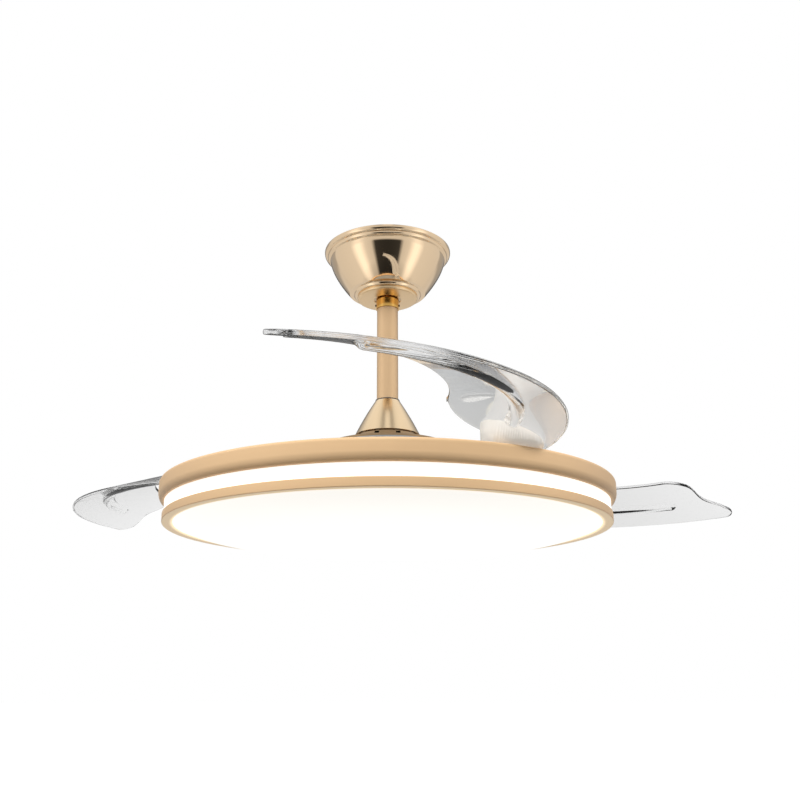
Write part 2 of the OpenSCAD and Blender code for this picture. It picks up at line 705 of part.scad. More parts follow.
// Toothed sector under a holder, drawn swung out
module blade_gear() {
    root = blade_gear_r - 1.2 * gear_mod;
    rotate([0, 0, sector_from]) rotate_extrude(angle = sector_to - sector_from, $fn = fine)
        translate([hub_boss_r - 1.5, gear_z]) square([root - hub_boss_r + 1.5, gear_t]);
    for (j = [-2:closing_teeth]) rotate([0, 0, 180 + (j + 0.5) * gear_pitch])
        translate([0, 0, gear_z]) linear_extrude(gear_t) polygon(gear_tooth(blade_teeth, gear_mod));
}

// Toothed in front of each pivot only, and plain between
ring_pitch = 360 / ring_teeth;
ring_root = ring_gear_r - 1.35 * gear_mod;
plain_steps = 36;
ring_outline = [for (k = [0:2]) let (
        start = pivot_bearing + 120 * k,
        first = 2.6 * ring_pitch,
        last = 120 - (closing_teeth + 2.6) * ring_pitch)
    each concat(
        [for (i = [-closing_teeth - 2:2], p = gear_tooth(ring_teeth, gear_mod))
            turn(p, start + i * ring_pitch)],
        [for (i = [0:plain_steps]) polar(ring_root, start + first + (last - first) * i / plain_steps)])];

module timing_ring() color("#b08d57") on_body() difference() {
    translate([0, 0, gear_z]) linear_extrude(gear_t) polygon(ring_outline);
    rod(ring_in, 0, 100);
}

// ---- blades ----

// Bearing of the blade's tip and root ends at a radius, in the folded frame
function tip_at(rho) = rho > dip_r
    ? 2 * cos(180 * (rho - dip_r) / horn_w) - blade_sweep
    : 1.3 + 0.7 * cos(180 * (dip_r - rho) / heel_w) - blade_sweep;
function root_at(rho) = rho > pivot_r ? 0 : root_end;
function polar(rho, a) = [rho * cos(a), rho * sin(a)];

// Round corner of an end, from just past the sheet's edge inwards: distance in from the edge, and
// distance back along it
function corner(c) = concat([[-1, 1.35 * c]], [for (t = [6:14:90]) [c * (1 - cos(t)), c * (1 - sin(t))]]);
function inner_corner(c, side) = [for (p = corner(c)) let (r = trail_r + p[0])
    polar(r, side > 0 ? root_at(r) - p[1] * 57.3 / r : tip_at(r) + p[1] * 57.3 / r)];
function outer_corner(c) = [for (p = corner(c)) let (r = lead_r - p[0])
    polar(r, tip_at(r) + p[1] * 57.3 / r)];
function backwards(p) = [for (i = [len(p) - 1:-1:0]) p[i]];

plan_steps = 14;
plan_from = trail_r + heel_round;
plan_step = (chord - heel_round - tip_round) / plan_steps;
blade_plan = concat(
    inner_corner(heel_round, -1),
    [for (i = [1:plan_steps - 1]) let (r = plan_from + i * plan_step) polar(r, tip_at(r))],
    backwards(outer_corner(tip_round)),
    [polar(lead_r + 70, -blade_sweep * 0.66), polar(lead_r + 70, -blade_sweep * 0.33),
     polar(lead_r + 20, 0), polar(pivot_r, 0), polar(pivot_r, root_end)],
    backwards(inner_corner(root_round, 1)),
    [for (t = [0.24:0.12:0.84]) polar(trail_r - 9, -blade_sweep * t)]);

// Ring-shaped cone from one height offset to another, measured from the blade's middle
module cone_band(r0, r1, below, above) {
    rotate_extrude($fn = fine) polygon([[r0, blade_z(r0) - below], [r1, blade_z(r1) - below],
        [r1, blade_z(r1) + above], [r0, blade_z(r0) + above]]);
}

bead_r = lead_r - bead_in;
bead_start = -12;
bead_end = -84.6;
bead_line = [for (i = [0:10]) let (a = 180 + 18 * i, x = bead_w / 2 * cos(a), y = bead_h * sin(a))
    [bead_r + x * cos(tilt), blade_z(bead_r + x * cos(tilt)) - blade_v / 2 + 0.4 + y]];

module bead() {
    rotate([0, 0, bead_end]) rotate_extrude(angle = bead_start - bead_end, $fn = fine) polygon(bead_line);
}

module blade_screw_places() {
    for (a = [180, 60, -60]) let (
        x = pivot_r + blade_screw_ring * cos(a), y = blade_screw_ring * sin(a), rho = norm([x, y]))
        rotate([0, 0, atan2(y, x)]) translate([rho, 0, blade_z(rho)]) rotate([0, tilt, 0]) children();
}

module blade_body() {
    difference() {
        union() {
            intersection() {
                cone_band(trail_r, lead_r, blade_v / 2, blade_v / 2);
                union() {
                    linear_extrude(200) polygon(blade_plan);
                    translate([pivot_r, 0, 0]) rod(root_r + 0.4, 0, 200);
                }
            }
            bead();
        }
        translate([pivot_r, 0, 0]) rod(hub_boss_r + fit_gap, 0, 200);
        blade_screw_places() rod(blade_screw_r + 0.1, -20, 20);
    }
}

// The block of a holder stands back from the pivot and along the blade, and makes room for the
// end of the bead
holder_r = 32.5;
holder_back = 8;
holder_side = 15;
module holder_body() {
    difference() {
        union() {
            intersection() {
                union() {
                    translate([pivot_r, 0, 0]) rod(root_r - 0.5, holder_z, 200);
                    difference() {
                        translate([pivot_r - holder_back, -holder_side, 0])
                            rod(holder_r, holder_z + 0.8, 200);
                        rotate([0, 0, bead_start - 8]) rotate_extrude(angle = 8.4, $fn = fine)
                            translate([bead_r - bead_w / 2 - 0.8, blade_z(bead_r) - blade_v / 2 - bead_h - 2])
                                square([bead_w + 1.6, 100]);
                    }
                }
                cone_band(trail_r, lead_r + 5, 40, -blade_v / 2);
            }
            translate([pivot_r, 0, 0]) rod(hub_boss_r, gear_z, boss_top);
            translate([pivot_r, 0, 0]) rotate([0, 0, -fold_angle]) blade_gear();
        }
        translate([pivot_r, 0, 0]) rod(bush_r + 0.02, gear_z - 1, boss_top + 1);
        blade_screw_places() rod(blade_screw_r + run_gap, -blade_t / 2 - 6.6, 0);
    }
}

module blade(k) { color(clear) on_body() swung_out(k) blade_body(); }
module blade_holder(k) { color(milk) on_body() swung_out(k) holder_body(); }
module blade_bush(k) {
    color(brass) on_body() at_pivot(k) tube(post_r + run_gap, bush_r, gear_z + 0.2, boss_top);
}
module blade_screws(k) {
    color(zinc) on_body() swung_out(k) blade_screw_places() {
        rod(3.8, blade_t / 2, blade_t / 2 + 2.2);
        rod(blade_screw_r, -blade_t / 2 - 6, blade_t / 2);
    }
}

ceiling_bracket();
canopy();
canopy_screws();
canopy_plate();
terminal_block();
hanger_ball();
ball_pin();
downrod();
rod_collar();
collar_screws();
supply_wires();
rod_seal();
motor_cone();
coupling();
coupling_bolt();
motor_shaft();
bearing_inner_races();
stator_hub();
stator_core();
stator_coils();
motor_board();
light_pan();
pan_nut();
led_board();
led_chips();
led_driver();
receiver();
upper_ring();
ring_clips();
light_band();
lower_ring();
band_screws();
diffuser();
bearing_outer_races();
bearing_balls();
rotor_shell();
rotor_magnets();
rotor_top_cover();
rotor_bottom_cover();
vent_ring();
rotor_bolts();
blade_disc();
pivot_posts();
pivot_screws();
ring_guides();
return_springs();
stop_buffers();
timing_ring();
blade(0);  // blade_1
blade(1);  // blade_2
blade(2);  // blade_3
blade_holder(0);  // blade_holder_1
blade_holder(1);  // blade_holder_2
blade_holder(2);  // blade_holder_3
blade_bush(0);  // blade_bush_1
blade_bush(1);  // blade_bush_2
blade_bush(2);  // blade_bush_3
blade_screws(0);  // blade_screws_1
blade_screws(1);  // blade_screws_2
blade_screws(2);  // blade_screws_3
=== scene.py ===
"""Looks of a ceiling fan with three swing-out clear blades over a round light.

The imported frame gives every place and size. Lengths in the classes are millimetres unless a name
says otherwise, and meshes are written in metres in the frame's own axes.
"""

from __future__ import annotations

import json
import logging
import math
from contextlib import contextmanager
from dataclasses import dataclass
from enum import Enum
from typing import Any, Iterable, Iterator, Sequence

import bmesh
import bpy
import numpy as np
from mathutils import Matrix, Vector


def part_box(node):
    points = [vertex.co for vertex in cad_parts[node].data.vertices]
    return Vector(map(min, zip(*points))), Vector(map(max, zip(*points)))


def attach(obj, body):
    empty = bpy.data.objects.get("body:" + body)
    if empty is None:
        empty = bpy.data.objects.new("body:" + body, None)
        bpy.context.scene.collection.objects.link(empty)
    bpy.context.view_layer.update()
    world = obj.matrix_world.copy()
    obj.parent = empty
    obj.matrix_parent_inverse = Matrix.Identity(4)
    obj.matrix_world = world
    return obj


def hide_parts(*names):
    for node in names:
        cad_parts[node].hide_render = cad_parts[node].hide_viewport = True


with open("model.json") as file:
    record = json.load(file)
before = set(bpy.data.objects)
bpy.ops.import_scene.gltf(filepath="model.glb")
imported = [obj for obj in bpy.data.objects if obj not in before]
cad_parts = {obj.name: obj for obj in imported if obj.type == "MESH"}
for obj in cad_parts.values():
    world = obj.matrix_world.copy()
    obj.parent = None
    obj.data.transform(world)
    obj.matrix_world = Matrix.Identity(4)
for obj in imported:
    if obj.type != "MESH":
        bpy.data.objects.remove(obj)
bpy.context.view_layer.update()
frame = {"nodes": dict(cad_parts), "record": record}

MM = 0.001
# Points closer than this are doubles, in metres
MERGE = 1e-6
# Stands in for a length or an area of nothing where it divides
TINY = 1e-15
LOG = logging.getLogger("ceiling_fan")
Point2 = tuple[float, float]

# The underside of the light, which the classes measure their heights from
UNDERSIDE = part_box("lower_ring")[0].z / MM


class Body(str, Enum):
    """Rigid bodies of the frame that the pieces ride on."""

    CEILING = "ceiling"
    HANGER = "hanger"
    ROTOR = "rotor"
    TIMING = "timing"
    BLADE_1 = "blade_unit_1"
    BLADE_2 = "blade_unit_2"
    BLADE_3 = "blade_unit_3"


BLADE_BODIES = (Body.BLADE_1, Body.BLADE_2, Body.BLADE_3)


# ---------------------------------------------------------------- colour and nodes


def linear(hex_colour: str) -> tuple[float, float, float, float]:
    """Turn an sRGB hex colour into linear light.

    Args:
        hex_colour: six hex digits, with or without a leading #.

    Returns:
        Linear red, green and blue, and full opacity.
    """
    digits = hex_colour.lstrip("#")
    values = [int(digits[i : i + 2], 16) / 255 for i in (0, 2, 4)]
    r, g, b = [v / 12.92 if v <= 0.04045 else ((v + 0.055) / 1.055) ** 2.4 for v in values]
    return r, g, b, 1.0


def add_node(
    tree: bpy.types.NodeTree,
    kind: str,
    inputs: dict[Any, Any] | None = None,
    **settings: Any,
) -> bpy.types.Node:
    """Add a node with its settings, values and links.

    Args:
        tree: the node tree to add to.
        kind: the node's type name.
        inputs: socket name, or its number where names repeat, to a value or to the output socket
            of another node.
        settings: attributes of the node.

    Returns:
        The new node.
    """
    node = tree.nodes.new(kind)
    for name, value in settings.items():
        setattr(node, name, value)
    for key, value in (inputs or {}).items():
        if isinstance(value, bpy.types.NodeSocket):
            tree.links.new(value, node.inputs[key])
        else:
            node.inputs[key].default_value = value
    return node


# ---------------------------------------------------------------- finishes


# How dense the slow patchiness of a colour is, the octaves of the grain's and the patches' noise,
# and how strongly the bump shows
PATCHES_PER_METRE = 9.0
GRAIN_DETAIL, PATCH_DETAIL = 4.0, 2.0
BUMP_STRENGTH = 0.6


@dataclass(frozen=True)
class Finish:
    """A surface finish: what it is made of, its colour and the fine detail on it.

    grain is the size of the mottling in millimetres, mottle how far it changes the roughness,
    relief the height of the bump in millimetres, tint how far a slow patchiness changes the colour,
    and stretch how much closer or wider the grain lies along each axis.
    """

    name: str
    colour: str
    roughness: float
    metallic: float = 0.0
    ior: float = 1.5
    coat: float = 0.0
    grain: float = 0.8
    mottle: float = 0.06
    relief: float = 0.01
    tint: float = 0.04
    stretch: tuple[float, float, float] = (1.0, 1.0, 1.0)

    def material(self) -> bpy.types.Material:
        """Return this finish's material, built on its first use."""
        known = bpy.data.materials.get(self.name)
        return known if known is not None else self.build()

    def build(self) -> bpy.types.Material:
        """Build the material.

        Returns:
            A node material with mottled colour and roughness and a fine bump.
        """
        material = bpy.data.materials.new(self.name)
        material.use_nodes = True
        tree = material.node_tree
        tree.nodes.clear()
        place = add_node(tree, "ShaderNodeTexCoord")
        scaled = add_node(
            tree, "ShaderNodeMapping", {0: place.outputs["Object"], "Scale": self.stretch}
        )
        noise = add_node(
            tree,
            "ShaderNodeTexNoise",
            {"Vector": scaled.outputs[0], "Scale": 1 / (self.grain * MM), "Detail": GRAIN_DETAIL},
        )
        patchy = add_node(
            tree,
            "ShaderNodeTexNoise",
            {
                "Vector": place.outputs["Object"],
                "Scale": PATCHES_PER_METRE,
                "Detail": PATCH_DETAIL,
            },
        )
        rough = add_node(
            tree,
            "ShaderNodeMapRange",
            {
                0: noise.outputs[0],
                3: max(self.roughness - self.mottle, 0.0),
                4: min(self.roughness + self.mottle, 1.0),
            },
        )
        base = linear(self.colour)
        shade = add_node(
            tree,
            "ShaderNodeMix",
            {
                0: patchy.outputs[0],
                6: [c * (1 - self.tint) for c in base[:3]] + [1.0],
                7: [min(c * (1 + self.tint), 1.0) for c in base[:3]] + [1.0],
            },
            data_type="RGBA",
        )
        bump = add_node(
            tree,
            "ShaderNodeBump",
            {
                "Height": noise.outputs[0],
                "Distance": self.relief * MM,
                "Strength": BUMP_STRENGTH,
            },
        )
        shader = add_node(
            tree,
            "ShaderNodeBsdfPrincipled",
            {
                "Base Color": shade.outputs[2],
                "Roughness": rough.outputs[0],
                "Metallic": self.metallic,
                "IOR": self.ior,
                "Coat Weight": self.coat,
                "Normal": bump.outputs[0],
            },
        )
        self.extra(tree, shader)
        add_node(tree, "ShaderNodeOutputMaterial", {0: shader.outputs[0]})
        return material

    def extra(self, tree: bpy.types.NodeTree, shader: bpy.types.Node) -> None:
        """Set what a kind of finish adds to the plain shader, which is nothing here."""


@dataclass(frozen=True)
class RootShadedClearFinish(Finish):
    """A clear plastic whose grey deepens towards the root, as painted shade.

    colour is the root's, its deeper grey a painted shade. The piece says by its attributes how far
    along it a point lies, and whether it is on the bead, which is not quite as polished as the
    rest.
    """

    tip_colour: str = "EEEEEE"
    bead_roughness: float = 0.06

    def extra(self, tree: bpy.types.NodeTree, shader: bpy.types.Node) -> None:
        """Let light through, grey it along the piece as painted shade, and dull the bead.

        Args:
            tree: the material's tree.
            shader: its plain shader.
        """
        shader.inputs["Transmission Weight"].default_value = 1.0
        along = add_node(tree, "ShaderNodeAttribute", attribute_name="along")
        shade = add_node(
            tree,
            "ShaderNodeMix",
            {
                0: along.outputs["Fac"],
                6: linear(self.colour),
                7: linear(self.tip_colour),
            },
            data_type="RGBA",
        )
        tree.links.new(shade.outputs[2], shader.inputs["Base Color"])
        bead = add_node(tree, "ShaderNodeAttribute", attribute_name="bead")
        rough = add_node(
            tree,
            "ShaderNodeMath",
            {0: bead.outputs["Fac"], 1: self.bead_roughness},
            operation="MULTIPLY",
        )
        tree.links.new(rough.outputs[0], shader.inputs["Roughness"])


@dataclass(frozen=True)
class GlowingFinish(Finish):
    """A white or milky plastic that gives off light, as the fan's own lamp or as a painted glow."""

    glow: str = "FFFFFF"
    strength: float = 0.7
    transmission: float = 0.0

    def extra(self, tree: bpy.types.NodeTree, shader: bpy.types.Node) -> None:
        """Give off the glow and let some light through.

        Args:
            tree: the material's tree.
            shader: its plain shader.
        """
        shader.inputs["Transmission Weight"].default_value = self.transmission
        shader.inputs["Emission Color"].default_value = linear(self.glow)
        shader.inputs["Emission Strength"].default_value = self.strength


@dataclass(frozen=True)
class PaintedRimGlowFinish(Finish):
    """A finish with a painted glow: the light of a glowing pane beside it is painted on as
    emission, most at the rim and fainter over a bezel's width.

    rim_r, spill, bezel and edge_fade are millimetres: the pane's radius, how far the bright painted
    glow reaches from it, the bezel's width, and how soon the faint painted glow ends past the
    bezel.
    """

    rim_r: float = 100.0
    spill: float = 5.0
    bezel: float = 12.0
    edge_fade: float = 1.0
    glow: str = "FFE6BE"
    strength: float = 0.5
    faint: float = 0.42

    def extra(self, tree: bpy.types.NodeTree, shader: bpy.types.Node) -> None:
        """Fade the painted glow out with the distance from the axis.

        Args:
            tree: the material's tree.
            shader: its plain shader.
        """
        place = add_node(tree, "ShaderNodeTexCoord")
        flat = add_node(
            tree,
            "ShaderNodeVectorMath",
            {0: place.outputs["Object"], 1: (1, 1, 0)},
            operation="MULTIPLY",
        )
        away = add_node(tree, "ShaderNodeVectorMath", {0: flat.outputs[0]}, operation="LENGTH")
        edge = self.rim_r + self.bezel
        near, far = [
            add_node(
                tree,
                "ShaderNodeMapRange",
                {0: away.outputs["Value"], 1: start * MM, 2: end * MM, 3: level, 4: 0.0},
                interpolation_type="SMOOTHSTEP",
            ).outputs[0]
            for start, end, level in (
                (self.rim_r, self.rim_r + self.spill, self.strength),
                (edge, edge + self.edge_fade, self.faint),
            )
        ]
        both = add_node(tree, "ShaderNodeMath", {0: near, 1: far}, operation="ADD")
        shader.inputs["Emission Color"].default_value = linear(self.glow)
        tree.links.new(both.outputs[0], shader.inputs["Emission Strength"])


# Vacuum-plated steel under clear lacquer: a mirror with the faint waviness of pressed sheet
MIRROR_CHAMPAGNE = Finish(
    "plated_champagne_steel", "EACFAC", 0.06, metallic=1.0, grain=14, mottle=0.03, relief=0.02
)
# Satin lacquer over metal flake: keeps its colour from all sides, with a soft wide sheen. The flake
# itself is far finer, and is drawn at half a millimetre to show at all
SATIN_CHAMPAGNE = Finish(
    "satin_champagne_lacquer", "E6C092", 0.46, metallic=0.12, grain=0.5, mottle=0.05, relief=0.004
)
# The same lacquer with a painted glow where the diffuser's light would spill over the bezel's inner
# edge, and a fainter painted glow over the rest of the bezel
CHAMPAGNE_WITH_PAINTED_RIM_GLOW = PaintedRimGlowFinish(
    "satin_champagne_lacquer_painted_glow", "E6C092", 0.46, metallic=0.12, grain=0.5, mottle=0.05,
    relief=0.004, rim_r=262.0,
)
# Fine brushed and lacquered steel on the rod: matte, with grain along its length
ROD_CHAMPAGNE = Finish(
    "matte_champagne_tube", "D6B48B", 0.42, metallic=0.45, grain=0.5, relief=0.004,
    stretch=(1, 1, 0.04),
)
# Spun aluminium, lacquered gold: tight highlights that run from top to bottom
CONE_GOLD = Finish(
    "spun_gold_aluminium", "ECD2AC", 0.17, metallic=1.0, grain=0.6, relief=0.006,
    stretch=(1, 1, 0.2),
)
# Pressed and plated sheet of the vent ring, duller than the cone over it; its darker colour is
# painted shade under the cone
VENT_CHAMPAGNE_SHADED = Finish(
    "plated_vent_sheet", "9C8262", 0.3, metallic=0.8, grain=0.6, relief=0.006
)
# Pressed sheet with a thin pale gold plating
PLATE_GOLD = Finish("pale_gold_plate", "EFD0A4", 0.3, metallic=0.9, grain=1.2, relief=0.006)
# Turned brass, polished and lacquered
TURNED_BRASS = Finish(
    "turned_brass", "D8AA5C", 0.14, metallic=1.0, grain=0.5, relief=0.005, stretch=(0.2, 0.2, 1)
)
# Blackened steel of the set screws and magnets
BLACK_STEEL = Finish("blackened_steel", "2A2725", 0.38, metallic=0.8, grain=0.6)
# Zinc plating: cool grey, slightly cloudy
ZINC = Finish("zinc_plated_steel", "B9BEC2", 0.3, metallic=1.0, grain=2.0, mottle=0.1)
# Ground and oiled bearing steel: tight highlights on a cool grey
GROUND_STEEL = Finish("ground_steel", "A7ABAF", 0.22, metallic=1.0, grain=0.5)
# Die-cast aluminium with the fine skin of the mould
CAST_ALUMINIUM = Finish(
    "die_cast_aluminium", "AEB1B4", 0.42, metallic=0.9, grain=0.9, relief=0.03, mottle=0.08
)
# Rolled sheet with the fine lines that the rolls leave, all one way
SHEET_ALUMINIUM = Finish(
    "rolled_aluminium", "C3C6C8", 0.32, metallic=0.95, grain=0.7, relief=0.006, stretch=(1, 0.03, 1)
)
# Stamped core sheets of half a millimetre, which show as lines round the stack
LAMINATION = Finish(
    "stacked_core_steel", "6C7278", 0.45, metallic=0.8, grain=0.5, relief=0.05,
    stretch=(0.05, 0.05, 1),
)
# Baked enamel over bright copper: wet orange highlights
ENAMELLED_COPPER = Finish("enamelled_copper_wire", "B5602A", 0.22, metallic=0.9, grain=1.0)
# Solder mask over glass fibre, with a thin gloss
CIRCUIT_BOARD = Finish("circuit_board_lacquer", "2C6A3D", 0.35, grain=1.5, coat=0.3)
# Baked powder coat with its faint orange peel
WHITE_COAT = Finish("white_powder_coat", "E9E7E2", 0.55, grain=0.6, relief=0.02)
# Moulded casings with a fine spark-eroded grain
WHITE_PLASTIC = Finish("moulded_white_abs", "E4E2DD", 0.45, grain=0.5, relief=0.012)
# Undyed and dyed nylon of the gears and the ball: waxy and soft in the light
NYLON = Finish("natural_nylon", "DCD2B6", 0.5, grain=0.6, relief=0.012)
DARK_NYLON = Finish("black_nylon", "24242A", 0.5, grain=0.6, relief=0.02)
# Moulded rubber, nearly without a highlight
RUBBER = Finish("black_rubber", "191715", 0.75, grain=0.5, relief=0.02)
# Extruded sheath of the supply wires
CABLE_SHEATH = Finish("pvc_wire_sheath", "D2CCBE", 0.5, grain=0.8)
# Silicone over the diodes, yellow while it isn't lit
PHOSPHOR = Finish("yellow_phosphor", "EFDC7A", 0.4, grain=0.5)
# Cast acrylic sheet: water clear with a faint grey of its own, and polished faces. It bends light
# less than real acrylic does (1.49), which keeps the blades as light as the photographed ones
# The grey that deepens towards the blade's root is painted shade
CLEAR_ACRYLIC = RootShadedClearFinish("clear_cast_acrylic", "D4D4D3", 0.0, ior=1.34, relief=0.0)
# Opal plastic of the holders, with a painted glow that stands in for the light from below
MILKY_ACRYLIC_PAINTED_GLOW = GlowingFinish(
    "milky_acrylic_painted_glow", "F2F0EC", 0.14, ior=1.49, grain=3, mottle=0.03, tint=0.01,
    transmission=0.45, glow="FFF6EA", strength=0.17,
)
# Opal acrylic, evenly lit from behind
OPAL_ACRYLIC = GlowingFinish(
    "lit_opal_acrylic", "D8D6D0", 0.4, grain=0.8, relief=0.004, glow="FFFCF6", strength=0.88
)

# What each node that keeps its CAD shape is made of
NODE_FINISHES: dict[str, Finish] = {
    "ceiling_bracket": ZINC,
    "terminal_block": WHITE_PLASTIC,
    "hanger_ball": DARK_NYLON,
    "ball_pin": GROUND_STEEL,
    "downrod": ROD_CHAMPAGNE,
    "rod_collar": TURNED_BRASS,
    "supply_wires": CABLE_SHEATH,
    "rod_seal": RUBBER,
    "coupling": GROUND_STEEL,
    "coupling_bolt": ZINC,
    "motor_shaft": GROUND_STEEL,
    "bearing_inner_races": GROUND_STEEL,
    "stator_hub": CAST_ALUMINIUM,
    "stator_core": LAMINATION,
    "stator_coils": ENAMELLED_COPPER,
    "motor_board": CIRCUIT_BOARD,
    "light_pan": WHITE_COAT,
    "pan_nut": ZINC,
    "led_board": WHITE_COAT,
    "led_chips": PHOSPHOR,
    "led_driver": WHITE_PLASTIC,
    "receiver": WHITE_PLASTIC,
    "ring_clips": ZINC,
    "bearing_outer_races": GROUND_STEEL,
    "bearing_balls": GROUND_STEEL,
    "rotor_shell": CAST_ALUMINIUM,
    "rotor_magnets": BLACK_STEEL,
    "rotor_top_cover": CAST_ALUMINIUM,
    "rotor_bottom_cover": CAST_ALUMINIUM,
    "rotor_bolts": ZINC,
    "blade_disc": SHEET_ALUMINIUM,
    "pivot_posts": GROUND_STEEL,
    "pivot_screws": ZINC,
    "ring_guides": NYLON,
    "return_springs": GROUND_STEEL,
    "stop_buffers": RUBBER,
    "timing_ring": NYLON,
}
# The same for the nodes that each blade has one of, by their name without the blade's number
BLADE_NODE_FINISHES: dict[str, Finish] = {
    # The holders carry a painted glow
    "blade_holder": MILKY_ACRYLIC_PAINTED_GLOW,
    "blade_bush": TURNED_BRASS,
}
# Nodes whose screws get a socket and a tapered head
SOCKET_SCREWS: dict[str, Finish] = {
    "canopy_screws": GROUND_STEEL,
    "collar_screws": BLACK_STEEL,
    "band_screws": ZINC,
    "blade_screws_1": ZINC,
    "blade_screws_2": ZINC,
    "blade_screws_3": ZINC,
}
BLADE_NUMBERS = (1, 2, 3)
# Degrees from one blade to the next
BLADE_PITCH = 360 / len(BLADE_NUMBERS)


def shade_smooth(mesh: bpy.types.Mesh, angle: float = 32.0) -> None:
    """Shade a mesh smooth, with its sharp edges kept.

    Args:
        mesh: the mesh to shade.
        angle: edges bent by more than this many degrees stay sharp.
    """
    mesh.polygons.foreach_set("use_smooth", [True] * len(mesh.polygons))
    mesh.set_sharp_from_angle(angle=math.radians(angle))


@contextmanager
def reshaping(mesh: bpy.types.Mesh) -> Iterator[bmesh.types.BMesh]:
    """Open a mesh for work on its parts and write it back afterwards.

    Args:
        mesh: the mesh to work on.

    Yields:
        Its editable form.
    """
    work = bmesh.new()
    work.from_mesh(mesh)
    yield work
    work.to_mesh(mesh)
    work.free()


def mend(mesh: bpy.types.Mesh, merge: float = MERGE) -> None:
    """Merge a mesh's doubles and turn its faces outwards.

    Args:
        mesh: the mesh to mend.
        merge: points closer than this become one, in metres.
    """
    with reshaping(mesh) as work:
        bmesh.ops.remove_doubles(work, verts=work.verts, dist=merge)
        bmesh.ops.recalc_face_normals(work, faces=work.faces)


def mesh_piece(
    name: str, points: Sequence[Sequence[float]], faces: Iterable[Sequence[int]]
) -> bpy.types.Object:
    """Make a mesh object at the origin.

    Args:
        name: the piece's name.
        points: its points in metres.
        faces: its faces as point numbers.

    Returns:
        The object, linked to the scene.
    """
    mesh = bpy.data.meshes.new(name)
    mesh.from_pydata([tuple(map(float, p)) for p in points], [], [tuple(f) for f in faces])
    piece = bpy.data.objects.new(name, mesh)
    bpy.context.scene.collection.objects.link(piece)
    return piece


def dress(
    piece: bpy.types.Object, body: Body, finish: Finish, stands_for: Sequence[str]
) -> bpy.types.Object:
    """Give a piece its finish and its body, and hide the nodes that it stands for.

    Args:
        piece: a mesh object at the origin.
        body: the rigid body that it moves with.
        finish: what it is made of.
        stands_for: the CAD nodes that it replaces, which are hidden.

    Returns:
        The piece.
    """
    piece.data.materials.clear()
    piece.data.materials.append(finish.material())
    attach(piece, body.value)
    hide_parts(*stands_for)
    LOG.info("%s rides %s, %d faces", piece.name, body.value, len(piece.data.polygons))
    return piece


# ---------------------------------------------------------------- turned pieces


# How much of a straight piece the rounding at one of its ends may take up
LARGEST_CUT = 0.45


def rounded(points: Sequence[Point2], radius: float, steps: int = 3) -> list[Point2]:
    """Round the inner corners of an open line.

    Args:
        points: the line's points.
        radius: how far from a corner its rounding starts, at most.
        steps: straight pieces in each rounding.

    Returns:
        The rounded line.
    """
    line = [points[0]]
    for before, corner, after in zip(points, points[1:], points[2:]):
        b, c, a = (np.array(p, float) for p in (before, corner, after))
        back, on = np.linalg.norm(b - c), np.linalg.norm(a - c)
        reach = min(radius, LARGEST_CUT * back, LARGEST_CUT * on)
        start = c + (b - c) / back * reach
        end = c + (a - c) / on * reach
        for i in range(steps + 1):
            t = i / steps
            line.append(tuple((1 - t) ** 2 * start + 2 * t * (1 - t) * c + t * t * end))
    line.append(points[-1])
    return line


def sheet(points: Sequence[Point2], thickness: float) -> list[Point2]:
    """Lay a sheet of some thickness along an open line.

    Args:
        points: the sheet's outer line.
        thickness: how far the other side lies, to the right of the line's course.

    Returns:
        The closed outline.
    """
    p = np.array(points, float)
    steps = np.diff(p, axis=0)
    normals = np.stack([steps[:, 1], -steps[:, 0]], 1)
    normals /= np.linalg.norm(normals, axis=1)[:, None]
    first = np.vstack([normals[:1], normals])
    second = np.vstack([normals, normals[-1:]])
    mitre = (first + second) / (1 + (first * second).sum(1))[:, None]
    inner = p + thickness * mitre
    return [tuple(q) for q in p] + [tuple(q) for q in inner[::-1]]


